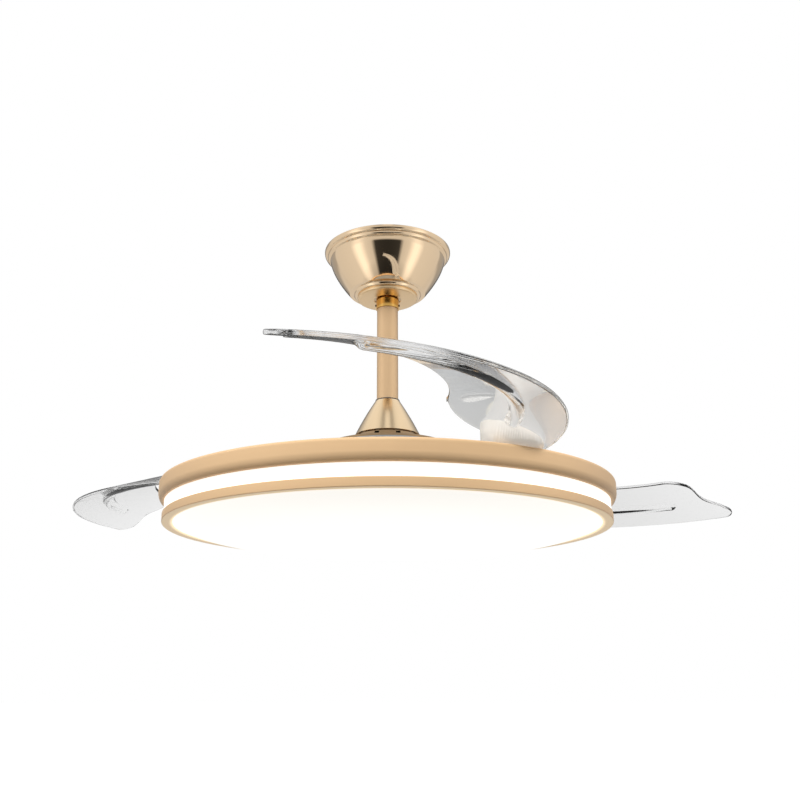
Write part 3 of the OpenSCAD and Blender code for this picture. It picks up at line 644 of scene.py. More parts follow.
class LatheTree:
    """Geometry nodes that turn a closed outline round the upright axis."""

    # Radius of the circle that the outline is carried round on, in metres
    PATH_RADIUS = 1.0

    def __init__(self) -> None:
        """Build the tree once."""
        tree = bpy.data.node_groups.new("lathe", "GeometryNodeTree")
        sockets = tree.interface
        sockets.new_socket("Outline", in_out="INPUT", socket_type="NodeSocketGeometry")
        self.segments = sockets.new_socket(
            "Segments", in_out="INPUT", socket_type="NodeSocketInt"
        ).identifier
        self.material = sockets.new_socket(
            "Finish", in_out="INPUT", socket_type="NodeSocketMaterial"
        ).identifier
        sockets.new_socket("Turned", in_out="OUTPUT", socket_type="NodeSocketGeometry")
        given = add_node(tree, "NodeGroupInput")
        path = add_node(
            tree,
            "GeometryNodeCurvePrimitiveCircle",
            {"Resolution": given.outputs["Segments"], "Radius": self.PATH_RADIUS},
        )
        outline = add_node(tree, "GeometryNodeMeshToCurve", {"Mesh": given.outputs["Outline"]})
        turned = add_node(
            tree,
            "GeometryNodeCurveToMesh",
            {"Curve": path.outputs["Curve"], "Profile Curve": outline.outputs["Curve"]},
        )
        real = add_node(tree, "GeometryNodeRealizeInstances", {0: turned.outputs["Mesh"]})
        painted = add_node(
            tree,
            "GeometryNodeSetMaterial",
            {"Geometry": real.outputs[0], "Material": given.outputs["Finish"]},
        )
        add_node(tree, "NodeGroupOutput", {"Turned": painted.outputs[0]})
        self.tree = tree

    def turn(
        self, name: str, outline: Sequence[Point2], finish: Finish, segments: int = 256
    ) -> bpy.types.Object:
        """Turn one outline.

        Args:
            name: the piece's name.
            outline: closed outline of radius and height in millimetres over the underside.
            finish: what the piece is made of.
            segments: flats round the axis.

        Returns:
            The turned mesh as a plain object.
        """
        # The outline is carried round on the path, so the path's own radius is taken off
        points = [(r * MM - self.PATH_RADIUS, -(z + UNDERSIDE) * MM, 0.0) for r, z in outline]
        loop = mesh_piece(name + "_outline", points, [])
        loop.data.edges.add(len(points))
        for i, edge in enumerate(loop.data.edges):
            edge.vertices = (i, (i + 1) % len(points))
        modifier = loop.modifiers.new("lathe", "NODES")
        modifier.node_group = self.tree
        modifier[self.segments] = segments
        modifier[self.material] = finish.material()
        return bake(loop, name)


def result_of(piece: bpy.types.Object) -> bpy.types.Mesh:
    """Return what a piece's modifiers make of its mesh, as a mesh of its own."""
    graph = bpy.context.evaluated_depsgraph_get()
    return bpy.data.meshes.new_from_object(piece.evaluated_get(graph), depsgraph=graph)


def bake(source: bpy.types.Object, name: str) -> bpy.types.Object:
    """Turn an object with a node modifier into a plain mesh object, and drop the source.

    Args:
        source: the object with its modifiers.
        name: name of the plain object.

    Returns:
        The plain object, with its doubles merged and its faces outwards.
    """
    mesh = result_of(source)
    bpy.data.objects.remove(source)
    mesh.name = name
    mend(mesh)
    shade_smooth(mesh)
    piece = bpy.data.objects.new(name, mesh)
    bpy.context.scene.collection.objects.link(piece)
    return piece


def solid_of_turn(
    name: str, outline: Sequence[Point2], segments: int = 256
) -> bpy.types.Object:
    """Turn an outline that meets the axis at both ends into a closed solid.

    Args:
        name: the piece's name.
        outline: open line of radius and height in millimetres, from the axis and back to it.
        segments: flats round the axis.

    Returns:
        The solid as a plain object.
    """
    angles = np.linspace(0, 2 * math.pi, segments, endpoint=False)
    points: list[tuple[float, float, float]] = []
    rings: list[list[int]] = []
    for r, z in outline:
        height = (z + UNDERSIDE) * MM
        if r == 0:
            rings.append([len(points)] * segments)
            points.append((0.0, 0.0, height))
        else:
            rings.append(list(range(len(points), len(points) + segments)))
            points += [(r * MM * math.cos(a), r * MM * math.sin(a), height) for a in angles]
    faces = []
    for low, high in zip(rings, rings[1:]):
        for i in range(segments):
            j = (i + 1) % segments
            # On the axis two of a face's corners are one, and it becomes a triangle
            faces.append(list(dict.fromkeys([low[i], low[j], high[j], high[i]])))
    piece = mesh_piece(name, points, faces)
    mend(piece.data)
    shade_smooth(piece.data)
    return piece


# ---------------------------------------------------------------- ceiling end


@dataclass
class CanopyAssembly:
    """Bowl against the ceiling with its cover plate. Heights are below the ceiling."""

    lip_r: float = 85.5
    height: float = 65.5
    wall: float = 1.2
    base_r: float = 53.0
    plate_r: float = 40.4
    plate_h: float = 4.0
    plate_hole_r: float = 18.5
    hole_r: float = 22.0
    bowl_in: float = 8.0
    bowl_from: float = 13.0
    bowl_power: float = 1.5
    bowl_steps: int = 26
    foot_h: float = 7.0
    foot_w: float = 10.0
    lip_round: float = 1.2
    foot_round: float = 1.0
    plate_t: float = 1.1
    plate_edge: float = 1.4
    # The rolled lip and the bead under it: how far in from the lip's radius, how far down
    lip_line: tuple[Point2, ...] = (
        (1.6, 0.0), (0.3, 0.7), (0.0, 2.2), (0.2, 4.4), (1.3, 6.1), (3.2, 7.3), (4.3, 7.6),
        (4.1, 9.4), (5.2, 11.2), (7.2, 12.0),
    )
    # The step at the foot of the bowl: how far in from the base's radius, how far under the bowl
    foot_line: tuple[Point2, ...] = ((2.0, 2.3), (6.5, 2.6), (8.0, 3.6), (8.6, 5.4))

    def bowl(self) -> list[Point2]:
        """Build the canopy's outer line.

        Returns:
            The line from the ceiling down to the hole in the bottom.
        """
        top = [(self.lip_r - inset, -down) for inset, down in self.lip_line]
        bowl_r, start, end = self.lip_r - self.bowl_in, -self.bowl_from, self.foot_h - self.height
        sweep = [
            (
                bowl_r + (self.base_r - bowl_r) * t**self.bowl_power,
                start + (end - start) * t,
            )
            for t in np.linspace(0, 1, self.bowl_steps)
        ]
        foot = [(self.base_r - inset, end - down) for inset, down in self.foot_line]
        foot += [(self.base_r - self.foot_w, -self.height), (self.hole_r, -self.height)]
        return rounded(top, self.lip_round) + sweep + rounded(foot, self.foot_round)

    def build(self, lathe: LatheTree) -> None:
        """Build the bowl and the cover plate.

        Args:
            lathe: the tree that turns outlines.
        """
        lift = -UNDERSIDE
        bowl = [(r, z + lift) for r, z in sheet(self.bowl(), self.wall)]
        dress(
            lathe.turn("canopy_bowl", bowl, MIRROR_CHAMPAGNE),
            Body.CEILING, MIRROR_CHAMPAGNE, ["canopy"],
        )
        edge = -self.height - self.plate_h
        line = [
            (self.plate_r, -self.height), (self.plate_r, edge + self.plate_edge),
            (self.plate_r - self.plate_edge, edge), (self.plate_hole_r, edge),
        ]
        shell = sheet(rounded(line, self.foot_round), self.plate_t)
        plate = [(r, z + lift) for r, z in shell]
        dress(
            lathe.turn("cover_plate", plate, PLATE_GOLD),
            Body.CEILING, PLATE_GOLD, ["canopy_plate"],
        )


# ---------------------------------------------------------------- motor trim


# Corners of a box's faces, where its corners count up by x, then y, then z
BOX_FACES = ((0, 2, 3, 1), (4, 5, 7, 6), (0, 1, 5, 4), (2, 6, 7, 3), (0, 4, 6, 2), (1, 3, 7, 5))


@dataclass
class MotorTrim:
    """Cone over the coupling and the slotted vent ring at its foot."""

    vent_top: float = 120.0
    vent_h: float = 19.0
    vent_lip: float = 3.5
    vent_rim: float = 83.0
    vents: int = 10
    vent_w: float = 6.0
    vent_inset: float = 0.6
    vent_reach: float = 4.0
    vent_over: float = 2.0
    vent_bearing: float = 270.0
    wall_w: float = 5.0
    land_in: float = 1.0
    # Corners of the vent ring's line: how far out and down from the edge of the flat under the
    # cone, and then from the foot of the slotted wall
    land_line: tuple[Point2, ...] = ((-2.0, 0.0), (0.0, 0.4), (1.2, 1.6))
    wall_line: tuple[Point2, ...] = ((-1.4, 6.0), (1.0, 7.5))
    # At the brim: how far in from its radius and down from its lip, and how high its edge ends
    brim_line: tuple[Point2, ...] = ((1.0, 0.0), (0.0, 1.0))
    brim_end: float = 0.1
    cone_z: float = 121.0
    cone_h: float = 46.5
    cone_r: float = 42.0
    cone_top_r: float = 15.9
    cone_curve: float = 0.15
    sheet_t: float = 1.2
    corner: float = 0.8
    steps: int = 40

    def build(self, lathe: LatheTree) -> None:
        """Build the cone and the vent ring.

        Args:
            lathe: the tree that turns outlines.
        """
        line = [
            (
                self.cone_top_r
                + (self.cone_r - self.cone_top_r) * t * (1 + self.cone_curve * (1 - t)),
                self.cone_z + self.cone_h * (1 - t),
            )
            for t in np.linspace(0, 1, self.steps)
        ]
        dress(
            lathe.turn("coupling_cone", sheet(line, self.sheet_t), CONE_GOLD),
            Body.HANGER, CONE_GOLD, ["motor_cone"],
        )
        # The vent ring's darker colour is painted shade
        ring = lathe.turn(
            "vent_ring_piece", sheet(rounded(self.vent_line(), self.corner), self.sheet_t),
            VENT_CHAMPAGNE_SHADED,
        )
        cut(ring, self.slot_cutter())
        shade_smooth(ring.data)
        dress(ring, Body.ROTOR, VENT_CHAMPAGNE_SHADED, ["vent_ring"])

    @property
    def land(self) -> float:
        """Radius of the flat that the cone's foot stands over."""
        return self.cone_r - self.land_in

    def vent_line(self) -> list[Point2]:
        """Build the vent ring's outer line.

        Returns:
            The line from the flat under the cone, down the slotted wall and out over the motor.
        """
        land, top, rim = self.land, self.vent_top, self.vent_rim
        foot, rest = land + self.wall_w, top - self.vent_h
        line = [(land + out, top - down) for out, down in self.land_line]
        line += [(foot + out, top - down) for out, down in self.wall_line]
        line += [(rim - inset, rest + self.vent_lip - down) for inset, down in self.brim_line]
        return line + [(rim, rest + self.brim_end)]

    def slot_cutter(self) -> bpy.types.Object:
        """Build the solid that is taken out of the vent ring.

        Returns:
            A ring of boxes, one for each slot.
        """
        near, far = self.land - self.vent_inset, self.land + self.wall_w + self.vent_reach
        low, high = self.vent_top - self.vent_h, self.vent_top + self.vent_over
        half = self.vent_w / 2
        corners = [(x, y, z) for z in (low, high) for y in (-half, half) for x in (near, far)]
        points: list[np.ndarray] = []
        faces: list[Sequence[int]] = []
        for i in range(self.vents):
            box = turned(np.array(corners), self.vent_bearing + (i + 0.5) * 360 / self.vents)
            box[:, 2] += UNDERSIDE
            faces += [tuple(len(points) + corner for corner in face) for face in BOX_FACES]
            points += list(box * MM)
        return mesh_piece("slot_cutter", points, faces)


# ---------------------------------------------------------------- light


@dataclass
class LightBody:
    """Upper ring, glowing band, lower ring and diffuser."""

    body_r: float = 275.0
    step: float = 5.5
    wall: float = 1.6
    lower_h: float = 10.4
    band_show: float = 14.3
    upper_h: float = 23.8
    upper_round: float = 2.0
    # Top of the upper ring: how far in from its side, how far under its upper edge
    upper_line: tuple[Point2, ...] = ((14.0, 0.0), (3.0, 0.0), (0.9, 0.9), (0.0, 3.0))
    # Its rounded foot: how far in from its side, how far over its lower edge
    upper_foot: tuple[Point2, ...] = ((0.0, 8.0), (1.0, 4.4), (2.7, 1.7), (4.8, 0.25))
    lower_round: float = 0.4
    bezel_w: float = 13.0
    # Cut corners of the lower ring: its upper edge by how far in and down, its lower edge alike
    # both ways, and the bezel's inner edge by how far out and up
    lower_top: tuple[Point2, ...] = ((0.5, 0.0), (0.0, 0.6))
    lower_cut: float = 0.7
    bezel_hem: tuple[Point2, ...] = ((1.0, 0.2), (0.0, 0.8))
    band_slack: float = 0.3
    band_t: float = 3.4
    band_z: float = 5.6
    band_flange: float = 10.5
    band_flange_t: float = 3.0
    band_below: float = 21.5
    diffuser_t: float = 3.2
    diffuser_slack: float = 0.5
    diffuser_cut: float = 0.5
    bezel_lap: float = 0.6
    dome_h: float = 15.0
    dome_power: float = 8.0
    dome_steps: int = 30

    def build(self, lathe: LatheTree) -> None:
        """Build the two trim rings, the band and the diffuser.

        Args:
            lathe: the tree that turns outlines.
        """
        r, out = self.body_r, self.body_r + self.step
        low = self.lower_h + self.band_show
        top = low + self.upper_h
        band_r = r - self.wall - self.band_slack
        upper = [(out - inset, top - down) for inset, down in self.upper_line]
        upper += [(out - inset, low + up) for inset, up in self.upper_foot]
        upper.append((band_r + self.band_slack, low))
        shell = sheet(rounded(upper, self.upper_round), self.wall)
        dress(
            lathe.turn("upper_trim_ring", shell, SATIN_CHAMPAGNE),
            Body.HANGER, SATIN_CHAMPAGNE, ["upper_ring"],
        )
        lower = [(r - self.wall, self.lower_h)]
        lower += [(r - inset, self.lower_h - down) for inset, down in self.lower_top]
        lower += [(r, self.lower_cut), (r - self.lower_cut, 0.0)]
        lower += [(r - self.bezel_w + over, up) for over, up in self.bezel_hem]
        lower += [(r - self.bezel_w, self.wall), (r - self.wall, self.wall)]
        # The lower ring's bezel carries a painted glow from the diffuser
        dress(
            lathe.turn("lower_trim_ring", rounded(lower, self.lower_round), CHAMPAGNE_WITH_PAINTED_RIM_GLOW),
            Body.HANGER, CHAMPAGNE_WITH_PAINTED_RIM_GLOW, ["lower_ring"],
        )
        band_top = top - self.band_below
        flange_r, flange_z = band_r - self.band_flange, band_top - self.band_flange_t
        band = [
            (band_r - self.band_t, self.band_z), (band_r, self.band_z), (band_r, band_top),
            (flange_r, band_top), (flange_r, flange_z), (band_r - self.band_t, flange_z),
        ]
        dress(
            lathe.turn("glowing_band", band, OPAL_ACRYLIC),
            Body.HANGER, OPAL_ACRYLIC, ["light_band"],
        )
        lens_r, show_r = r - self.wall - self.diffuser_slack, r - self.bezel_w - self.bezel_lap
        dome = [
            (show_r * t, self.wall - self.dome_h * (1 - t**self.dome_power))
            for t in 1 - (1 - np.linspace(0, 1, self.dome_steps)) ** 2
        ]
        inside = [(q, h + self.diffuser_t) for q, h in dome[::-1]]
        lens = dome + [
            (lens_r - self.diffuser_cut, self.wall), (lens_r, self.wall + self.diffuser_cut),
            (lens_r, self.wall + self.diffuser_t),
        ] + inside
        dress(
            solid_of_turn("light_diffuser", lens), Body.HANGER, OPAL_ACRYLIC, ["diffuser"]
        )


# ---------------------------------------------------------------- blades


# Distances from the blade's edge at which its swollen edge gets points
EDGE_STEPS = (0.0, 0.06, 0.25, 0.6, 1.1, 1.7, 3.0)
# Distances further in, where the blade's corners turn
CORNER_STEPS = (5.0, 8.0, 12.0, 17.0, 22.0)
# Distances into the bead from its edge that get rows, and of the rows on its crown from its middle
BEAD_STEPS = (-0.6, 0.0, 0.15, 0.6, 1.5, 3.2)
BEAD_CROWN = 2.2
# Distances past the edge of the disc at the root, and outwards from the bead, that get rows
DISC_STEPS = (-0.3, 0.15, 0.9, 2.0, 3.5)
OUTER_STEPS = (4.0, 8.0)
# The plain rows: how far in from the inner edge and from the bead they stop, and how far apart
PLAIN_FROM, PLAIN_GAP, PLAIN_STEP = 29.0, 3.0, 7.0
# The edge's points lie close together, so only closer ones are doubles, in metres
BLADE_MERGE = 1e-7
# Straight pieces of the outline that depths are measured to, across the blade and along it
OUTLINE_ACROSS, OUTLINE_ALONG = 60, 90


@dataclass
class Blade:
    """One clear blade, a strip of a flat cone with a round root and a long bead under it.

    It is drawn folded, with its pivot on +X, and then swung out and carried to its own pivot.
    Bearings and the sweep, fold and root's end are degrees. rho is a distance from the fan's axis.
    """

    number: int
    lead_r: float = 274.0
    chord: float = 112.0
    rise: float = 40.0
    lead_z: float = 54.0
    thickness: float = 4.0
    edge: float = 0.9
    root_r: float = 31.0
    root_end: float = 2.7
    root_round: float = 45.0
    sweep: float = 101.2
    tip_round: float = 12.0
    heel_round: float = 26.0
    dip_in: float = 61.0
    horn_w: float = 43.0
    horn_swing: float = 2.0
    heel_w: float = 30.0
    heel_swing: float = 0.7
    root_slack: float = 0.05
    fold: float = 73.0
    bearing: float = -57.0
    bead_in: float = 48.0
    bead_w: float = 16.0
    bead_h: float = 6.0
    bead_power: float = 1.0
    bead_from: float = -12.0
    bead_to: float = -84.6
    bead_margin: float = 2.0
    hole_r: float = 12.3
    hole_z: Point2 = (40.0, 110.0)
    hole_sides: int = 64
    sharp: float = 40.0
    middle_from: float = -9.0
    middle_to: float = -90.5
    middle_step: float = 0.75
    # Points of a row between the swollen edge and the even middle, at the root and at the tip
    root_run: int = 8
    tip_run: int = 7

    @property
    def trail_r(self) -> float:
        """Radius of the inner edge."""
        return self.lead_r - self.chord

    @property
    def pivot_r(self) -> float:
        """Radius of the pivot."""
        return self.lead_r - self.root_r

    def corner_cut(self, depth: float, radius: float) -> float:
        """Work out how far a round corner cuts into the outline.

        Args:
            depth: distance from the edge that the corner ends on.
            radius: the corner's radius.

        Returns:
            The distance from the other edge.
        """
        if depth >= radius:
            return 0.0
        return radius - math.sqrt(max(radius**2 - (radius - depth) ** 2, 0.0))

    def tip(self, rho: float) -> float:
        """Find the tip's edge, an S curve with a horn at the front and a heel at the back.

        Args:
            rho: the distance from the axis.

        Returns:
            The bearing of the edge there.
        """
        past = rho - (self.lead_r - self.dip_in)
        if past > 0:
            plain = self.horn_swing * math.cos(math.pi * past / self.horn_w) - self.sweep
        else:
            swing = self.heel_swing * math.cos(math.pi * past / self.heel_w)
            plain = self.horn_swing - self.heel_swing + swing - self.sweep
        inward = self.corner_cut(self.lead_r - rho, self.tip_round)
        inward += self.corner_cut(rho - self.trail_r, self.heel_round)
        return plain + math.degrees(inward / rho)

    def root(self, rho: float) -> float:
        """Find the root's edge, a disc round the pivot with a straighter end beside it.

        Args:
            rho: the distance from the axis.

        Returns:
            The bearing of the edge there.
        """
        inward = self.corner_cut(rho - self.trail_r, self.root_round)
        plain = self.root_end - math.degrees(inward / rho) if rho < self.pivot_r else 0.0
        radius = self.root_r + self.root_slack
        reach = (rho**2 + self.pivot_r**2 - radius**2) / (2 * rho * self.pivot_r)
        disc = math.degrees(math.acos(reach)) if -1 <= reach <= 1 else -180.0
        return max(plain, disc)

    def rows(self) -> list[float]:
        """Choose the distances from the axis at which the mesh has rows.

        Returns:
            The distances, close together where the shape turns.
        """
        near = EDGE_STEPS + CORNER_STEPS
        bead = self.lead_r - self.bead_in
        half = self.bead_w / 2
        across = [-half + n for n in BEAD_STEPS] + [-BEAD_CROWN]
        across += [0.0] + [-a for a in across]
        plain = list(np.arange(self.trail_r + PLAIN_FROM, bead - half - PLAIN_GAP, PLAIN_STEP))
        plain += [bead + half + n for n in OUTER_STEPS]
        found = [self.trail_r + n for n in near] + plain + [bead + a for a in across]
        found += [self.lead_r - n for n in near[:-1]]
        disc_edge = self.pivot_r - self.root_r
        found += [disc_edge + n for n in DISC_STEPS]
        return sorted(found)

    def columns(self, start: float, end: float, rho: float) -> list[float]:
        """Choose the bearings of one row's points.

        Args:
            start: bearing of the root's edge on the row.
            end: bearing of the tip's edge on the row.
            rho: the row's distance from the axis.

        Returns:
            The bearings, close together at both edges.
        """
        per_mm = math.degrees(1 / rho)
        first = [start - n * per_mm for n in EDGE_STEPS]
        last = [end + n * per_mm for n in EDGE_STEPS][::-1]
        count = int(round((self.middle_from - self.middle_to) / self.middle_step))
        enter, leave = (
            [a + (b - a) * t for t in np.linspace(0, 1, steps)[1:-1]]
            for a, b, steps in (
                (first[-1], self.middle_from, self.root_run),
                (self.middle_to, last[0], self.tip_run),
            )
        )
        middle = list(np.linspace(self.middle_from, self.middle_to, count + 1))
        return first + enter + middle + leave + last

    def outline(self) -> np.ndarray:
        """Draw the outline in the plane, for measuring distances to it.

        Returns:
            The closed line's points.
        """
        shares = (1 - np.cos(math.pi * np.linspace(0, 1, OUTLINE_ACROSS))) / 2
        radii = self.trail_r + self.chord * shares
        tip = [(r, self.tip(r)) for r in radii]
        root = [(r, self.root(r)) for r in radii[::-1]]
        outer, inner = (
            [(r, a) for a in np.linspace(start, end, count)]
            for r, start, end, count in (
                (self.lead_r, self.tip(self.lead_r), self.root(self.lead_r), OUTLINE_ALONG),
                (self.trail_r, self.root(self.trail_r), self.tip(self.trail_r), OUTLINE_ACROSS),
            )
        )
        ring = np.array(tip + outer + root + inner)
        angle = np.radians(ring[:, 1])
        return np.stack([ring[:, 0] * np.cos(angle), ring[:, 0] * np.sin(angle)], 1)

    def depth(self, points: np.ndarray) -> np.ndarray:
        """Measure how far inside the outline points lie.

        Args:
            points: points in the plane.

        Returns:
            The distance of each to the nearest part of the outline.
        """
        start = self.outline()
        way = np.roll(start, -1, axis=0) - start
        length = np.maximum((way**2).sum(1), TINY)
        best = np.full(len(points), np.inf)
        for s, w, n in zip(start, way, length):
            t = np.clip(((points - s) @ w) / n, 0, 1)
            best = np.minimum(best, np.hypot(*(points - s - t[:, None] * w).T))
        return best

    def bead(self, points: np.ndarray) -> np.ndarray:
        """Measure how far the bead stands below the blade's underside.

        Args:
            points: points in the plane.

        Returns:
            The bead's height at each.
        """
        rho = np.hypot(points[:, 0], points[:, 1])
        angle = np.degrees(np.arctan2(points[:, 1], points[:, 0]))
        middle = self.lead_r - self.bead_in
        past = np.maximum(angle - self.bead_from, 0) + np.maximum(self.bead_to - angle, 0)
        away = np.hypot(rho - middle, np.radians(past) * middle)
        half = self.bead_w / 2
        return self.bead_h * np.clip(1 - (away / half) ** 2, 0, 1) ** self.bead_power

    def build(self) -> bpy.types.Object:
        """Build the blade.

        Returns:
            The finished piece.
        """
        rows = self.rows()
        grid = [
            [(rho, a) for a in self.columns(self.root(rho), self.tip(rho), rho)] for rho in rows
        ]
        wide, deep = len(grid[0]), len(grid)
        flat = np.array(grid).reshape(-1, 2)
        angle = np.radians(flat[:, 1])
        plan = np.stack([flat[:, 0] * np.cos(angle), flat[:, 0] * np.sin(angle)], 1)
        inside = self.depth(plan)
        border = np.zeros((deep, wide), bool)
        border[0, :] = border[-1, :] = border[:, 0] = border[:, -1] = True
        inside[border.ravel()] = 0.0
        slope = self.rise / self.chord
        half = self.thickness / 2 * math.hypot(1, slope)
        swell = half * np.sqrt(1 - (1 - np.minimum(inside / self.edge, 1)) ** 2)
        middle = self.lead_z + slope * (self.lead_r - flat[:, 0])
        bead = self.bead(plan) * (inside > self.bead_margin)
        top = np.column_stack([plan, middle + swell])
        under = np.column_stack([plan, middle - swell - bead])
        # The underside shares the border's points with the top
        number = np.arange(deep * wide).reshape(deep, wide)
        lower = np.where(border, number, number + deep * wide)
        faces = []
        for i in range(deep - 1):
            for j in range(wide - 1):
                square = ((i, j), (i, j + 1), (i + 1, j + 1), (i + 1, j))
                faces.append([number[corner] for corner in square])
                faces.append([lower[corner] for corner in (square[0],) + square[:0:-1]])
        points = self.swing(np.vstack([top, under]))
        piece = mesh_piece(f"clear_blade_{self.number}", points, faces)
        for name, values in (
            ("along", np.tile(np.clip(-flat[:, 1] / self.sweep, 0, 1), 2)),
            ("bead", np.clip(np.concatenate([np.zeros(len(flat)), bead]), 0, 1)),
        ):
            data = piece.data.attributes.new(name, "FLOAT", "POINT")
            data.data.foreach_set("value", values.astype(np.float32))
        drop_loose(piece.data)
        mend(piece.data, BLADE_MERGE)
        self.cut_hole(piece)
        shade_smooth(piece.data, self.sharp)
        # A clear blade would shade the rings more than the photographed ones do
        piece.visible_shadow = False
        return dress(
            piece, BLADE_BODIES[self.number - 1], CLEAR_ACRYLIC, [f"blade_{self.number}"]
        )

    def swing(self, points: np.ndarray) -> np.ndarray:
        """Swing folded points out about the pivot, turn them to their bearing and place them.

        Args:
            points: points of the folded blade, in millimetres over the underside.

        Returns:
            The points in the frame's axes, in metres.
        """
        out = points.copy()
        out[:, 0] -= self.pivot_r
        out = turned(out, self.fold)
        out[:, 0] += self.pivot_r
        out = turned(out, self.bearing + BLADE_PITCH * (self.number - 1))
        out[:, 2] += UNDERSIDE
        return out * MM

    def cut_hole(self, piece: bpy.types.Object) -> None:
        """Cut the hole for the hub of the blade's holder.

        Args:
            piece: the blade.
        """
        ends = self.swing(np.array([[self.pivot_r, 0.0, z] for z in self.hole_z]))
        sides, radius = self.hole_sides, self.hole_r * MM
        angles = [2 * math.pi * i / sides for i in range(sides)]
        points = [
            (x + radius * math.cos(a), y + radius * math.sin(a), z)
            for x, y, z in ends
            for a in angles
        ]
        nexts = [(i + 1) % sides for i in range(sides)]
        faces: list[Sequence[int]] = [
            (i, j, sides + j, sides + i) for i, j in zip(range(sides), nexts)
        ]
        faces += [tuple(range(sides))[::-1], tuple(range(sides, 2 * sides))]
        cut(piece, mesh_piece("hub_cutter", points, faces))


def turned(points: np.ndarray, degrees: float) -> np.ndarray:
    """Turn points about the upright axis.

    Args:
        points: points of three numbers each.
        degrees: how far to turn them, anticlockwise from above.

    Returns:
        The turned points.
    """
    c, s = math.cos(math.radians(degrees)), math.sin(math.radians(degrees))
    out = points.copy()
    out[:, 0] = c * points[:, 0] - s * points[:, 1]
    out[:, 1] = s * points[:, 0] + c * points[:, 1]
    return out


def drop_loose(mesh: bpy.types.Mesh) -> None:
    """Remove the points that no face uses.

    Args:
        mesh: the mesh to clear of them.
    """
    with reshaping(mesh) as work:
        loose = [vert for vert in work.verts if not vert.link_faces]
        bmesh.ops.delete(work, geom=loose, context="VERTS")


def cut(piece: bpy.types.Object, cutter: bpy.types.Object) -> None:
    """Take the cutter's solid out of a piece and drop the cutter.

    Args:
        piece: the piece that stays.
        cutter: the solid that is taken away.
    """
    modifier = piece.modifiers.new("cut", "BOOLEAN")
    modifier.operation = "DIFFERENCE"
    modifier.solver = "EXACT"
    modifier.object = cutter
    mesh = result_of(piece)
    piece.modifiers.remove(modifier)
    old, piece.data = piece.data, mesh
    bpy.data.meshes.remove(old)
    bpy.data.objects.remove(cutter)


# ---------------------------------------------------------------- carried-over nodes


def smooth_copy(node: str, finish: Finish) -> bpy.types.Object:
    """Stand a merged and smoothly shaded copy of a CAD node in for it.

    Args:
        node: the CAD node.
        finish: what it is made of.

    Returns:
        The copy.
    """
    mesh = frame["nodes"][node].data.copy()
    mesh.name = node + "_piece"
    with reshaping(mesh) as work:
        bmesh.ops.remove_doubles(work, verts=work.verts, dist=MERGE)
    shade_smooth(mesh)
    piece = bpy.data.objects.new(node + "_piece", mesh)
    bpy.context.scene.collection.objects.link(piece)
    return dress(piece, body_of(node), finish, [node])


# ---------------------------------------------------------------- screws


# Points at least this share of the widest radius away from a screw's axis are on its head's rim
RIM_SHARE = 0.97
# Points this far below the rim belong to the shank, in metres
SHANK_GAP = 1e-5
# A head without a shank gets one of this share of its radius, and at least this long, in metres
SHANK_SHARE = 0.6
LEAST_SHANK = 0.2 * MM


@dataclass(frozen=True)
class ScrewFit:
    """Size of a screw, read off its CAD solid. Metres."""

    head_r: float
    head_h: float
    shank_r: float
    length: float

    @classmethod
    def of_island(cls, points: np.ndarray, normals: np.ndarray) -> tuple[ScrewFit, np.ndarray]:
        """Measure one solid.

        Args:
            points: the solid's points.
            normals: its faces' normals, each as long as its face is large.

        Returns:
            The size, and the seat of the head followed by the way the head points.
        """
        # The faces' normals spread evenly round the axis, so it is the odd one of the main ways
        area = np.linalg.norm(normals, axis=1) + TINY
        spread = (normals / area[:, None] * np.sqrt(area)[:, None]).T
        values, ways = np.linalg.eigh(spread @ spread.T)
        axis = ways[:, 2] if values[2] - values[1] > values[1] - values[0] else ways[:, 0]
        along = points @ axis
        aside = points - along[:, None] * axis
        middle = (aside.max(axis=0) + aside.min(axis=0)) / 2
        away = np.linalg.norm(aside - middle, axis=1)
        rim = along[away > RIM_SHARE * away.max()]
        # The head points away from the shank, and where there is none, away from the fan's axis
        low, high = rim.min() - along.min(), along.max() - rim.max()
        if low < high or (low == high and middle @ axis + along.mean() < 0):
            axis, along, rim = -axis, -along, -rim
        stem = away[along < rim.min() - SHANK_GAP]
        shank_r = float(stem.max()) if len(stem) else SHANK_SHARE * float(away.max())
        length = max(float(rim.min() - along.min()), LEAST_SHANK)
        fit = cls(float(away.max()), float(along.max() - rim.min()), shank_r, length)
        return fit, np.concatenate([middle + axis * rim.min(), axis])


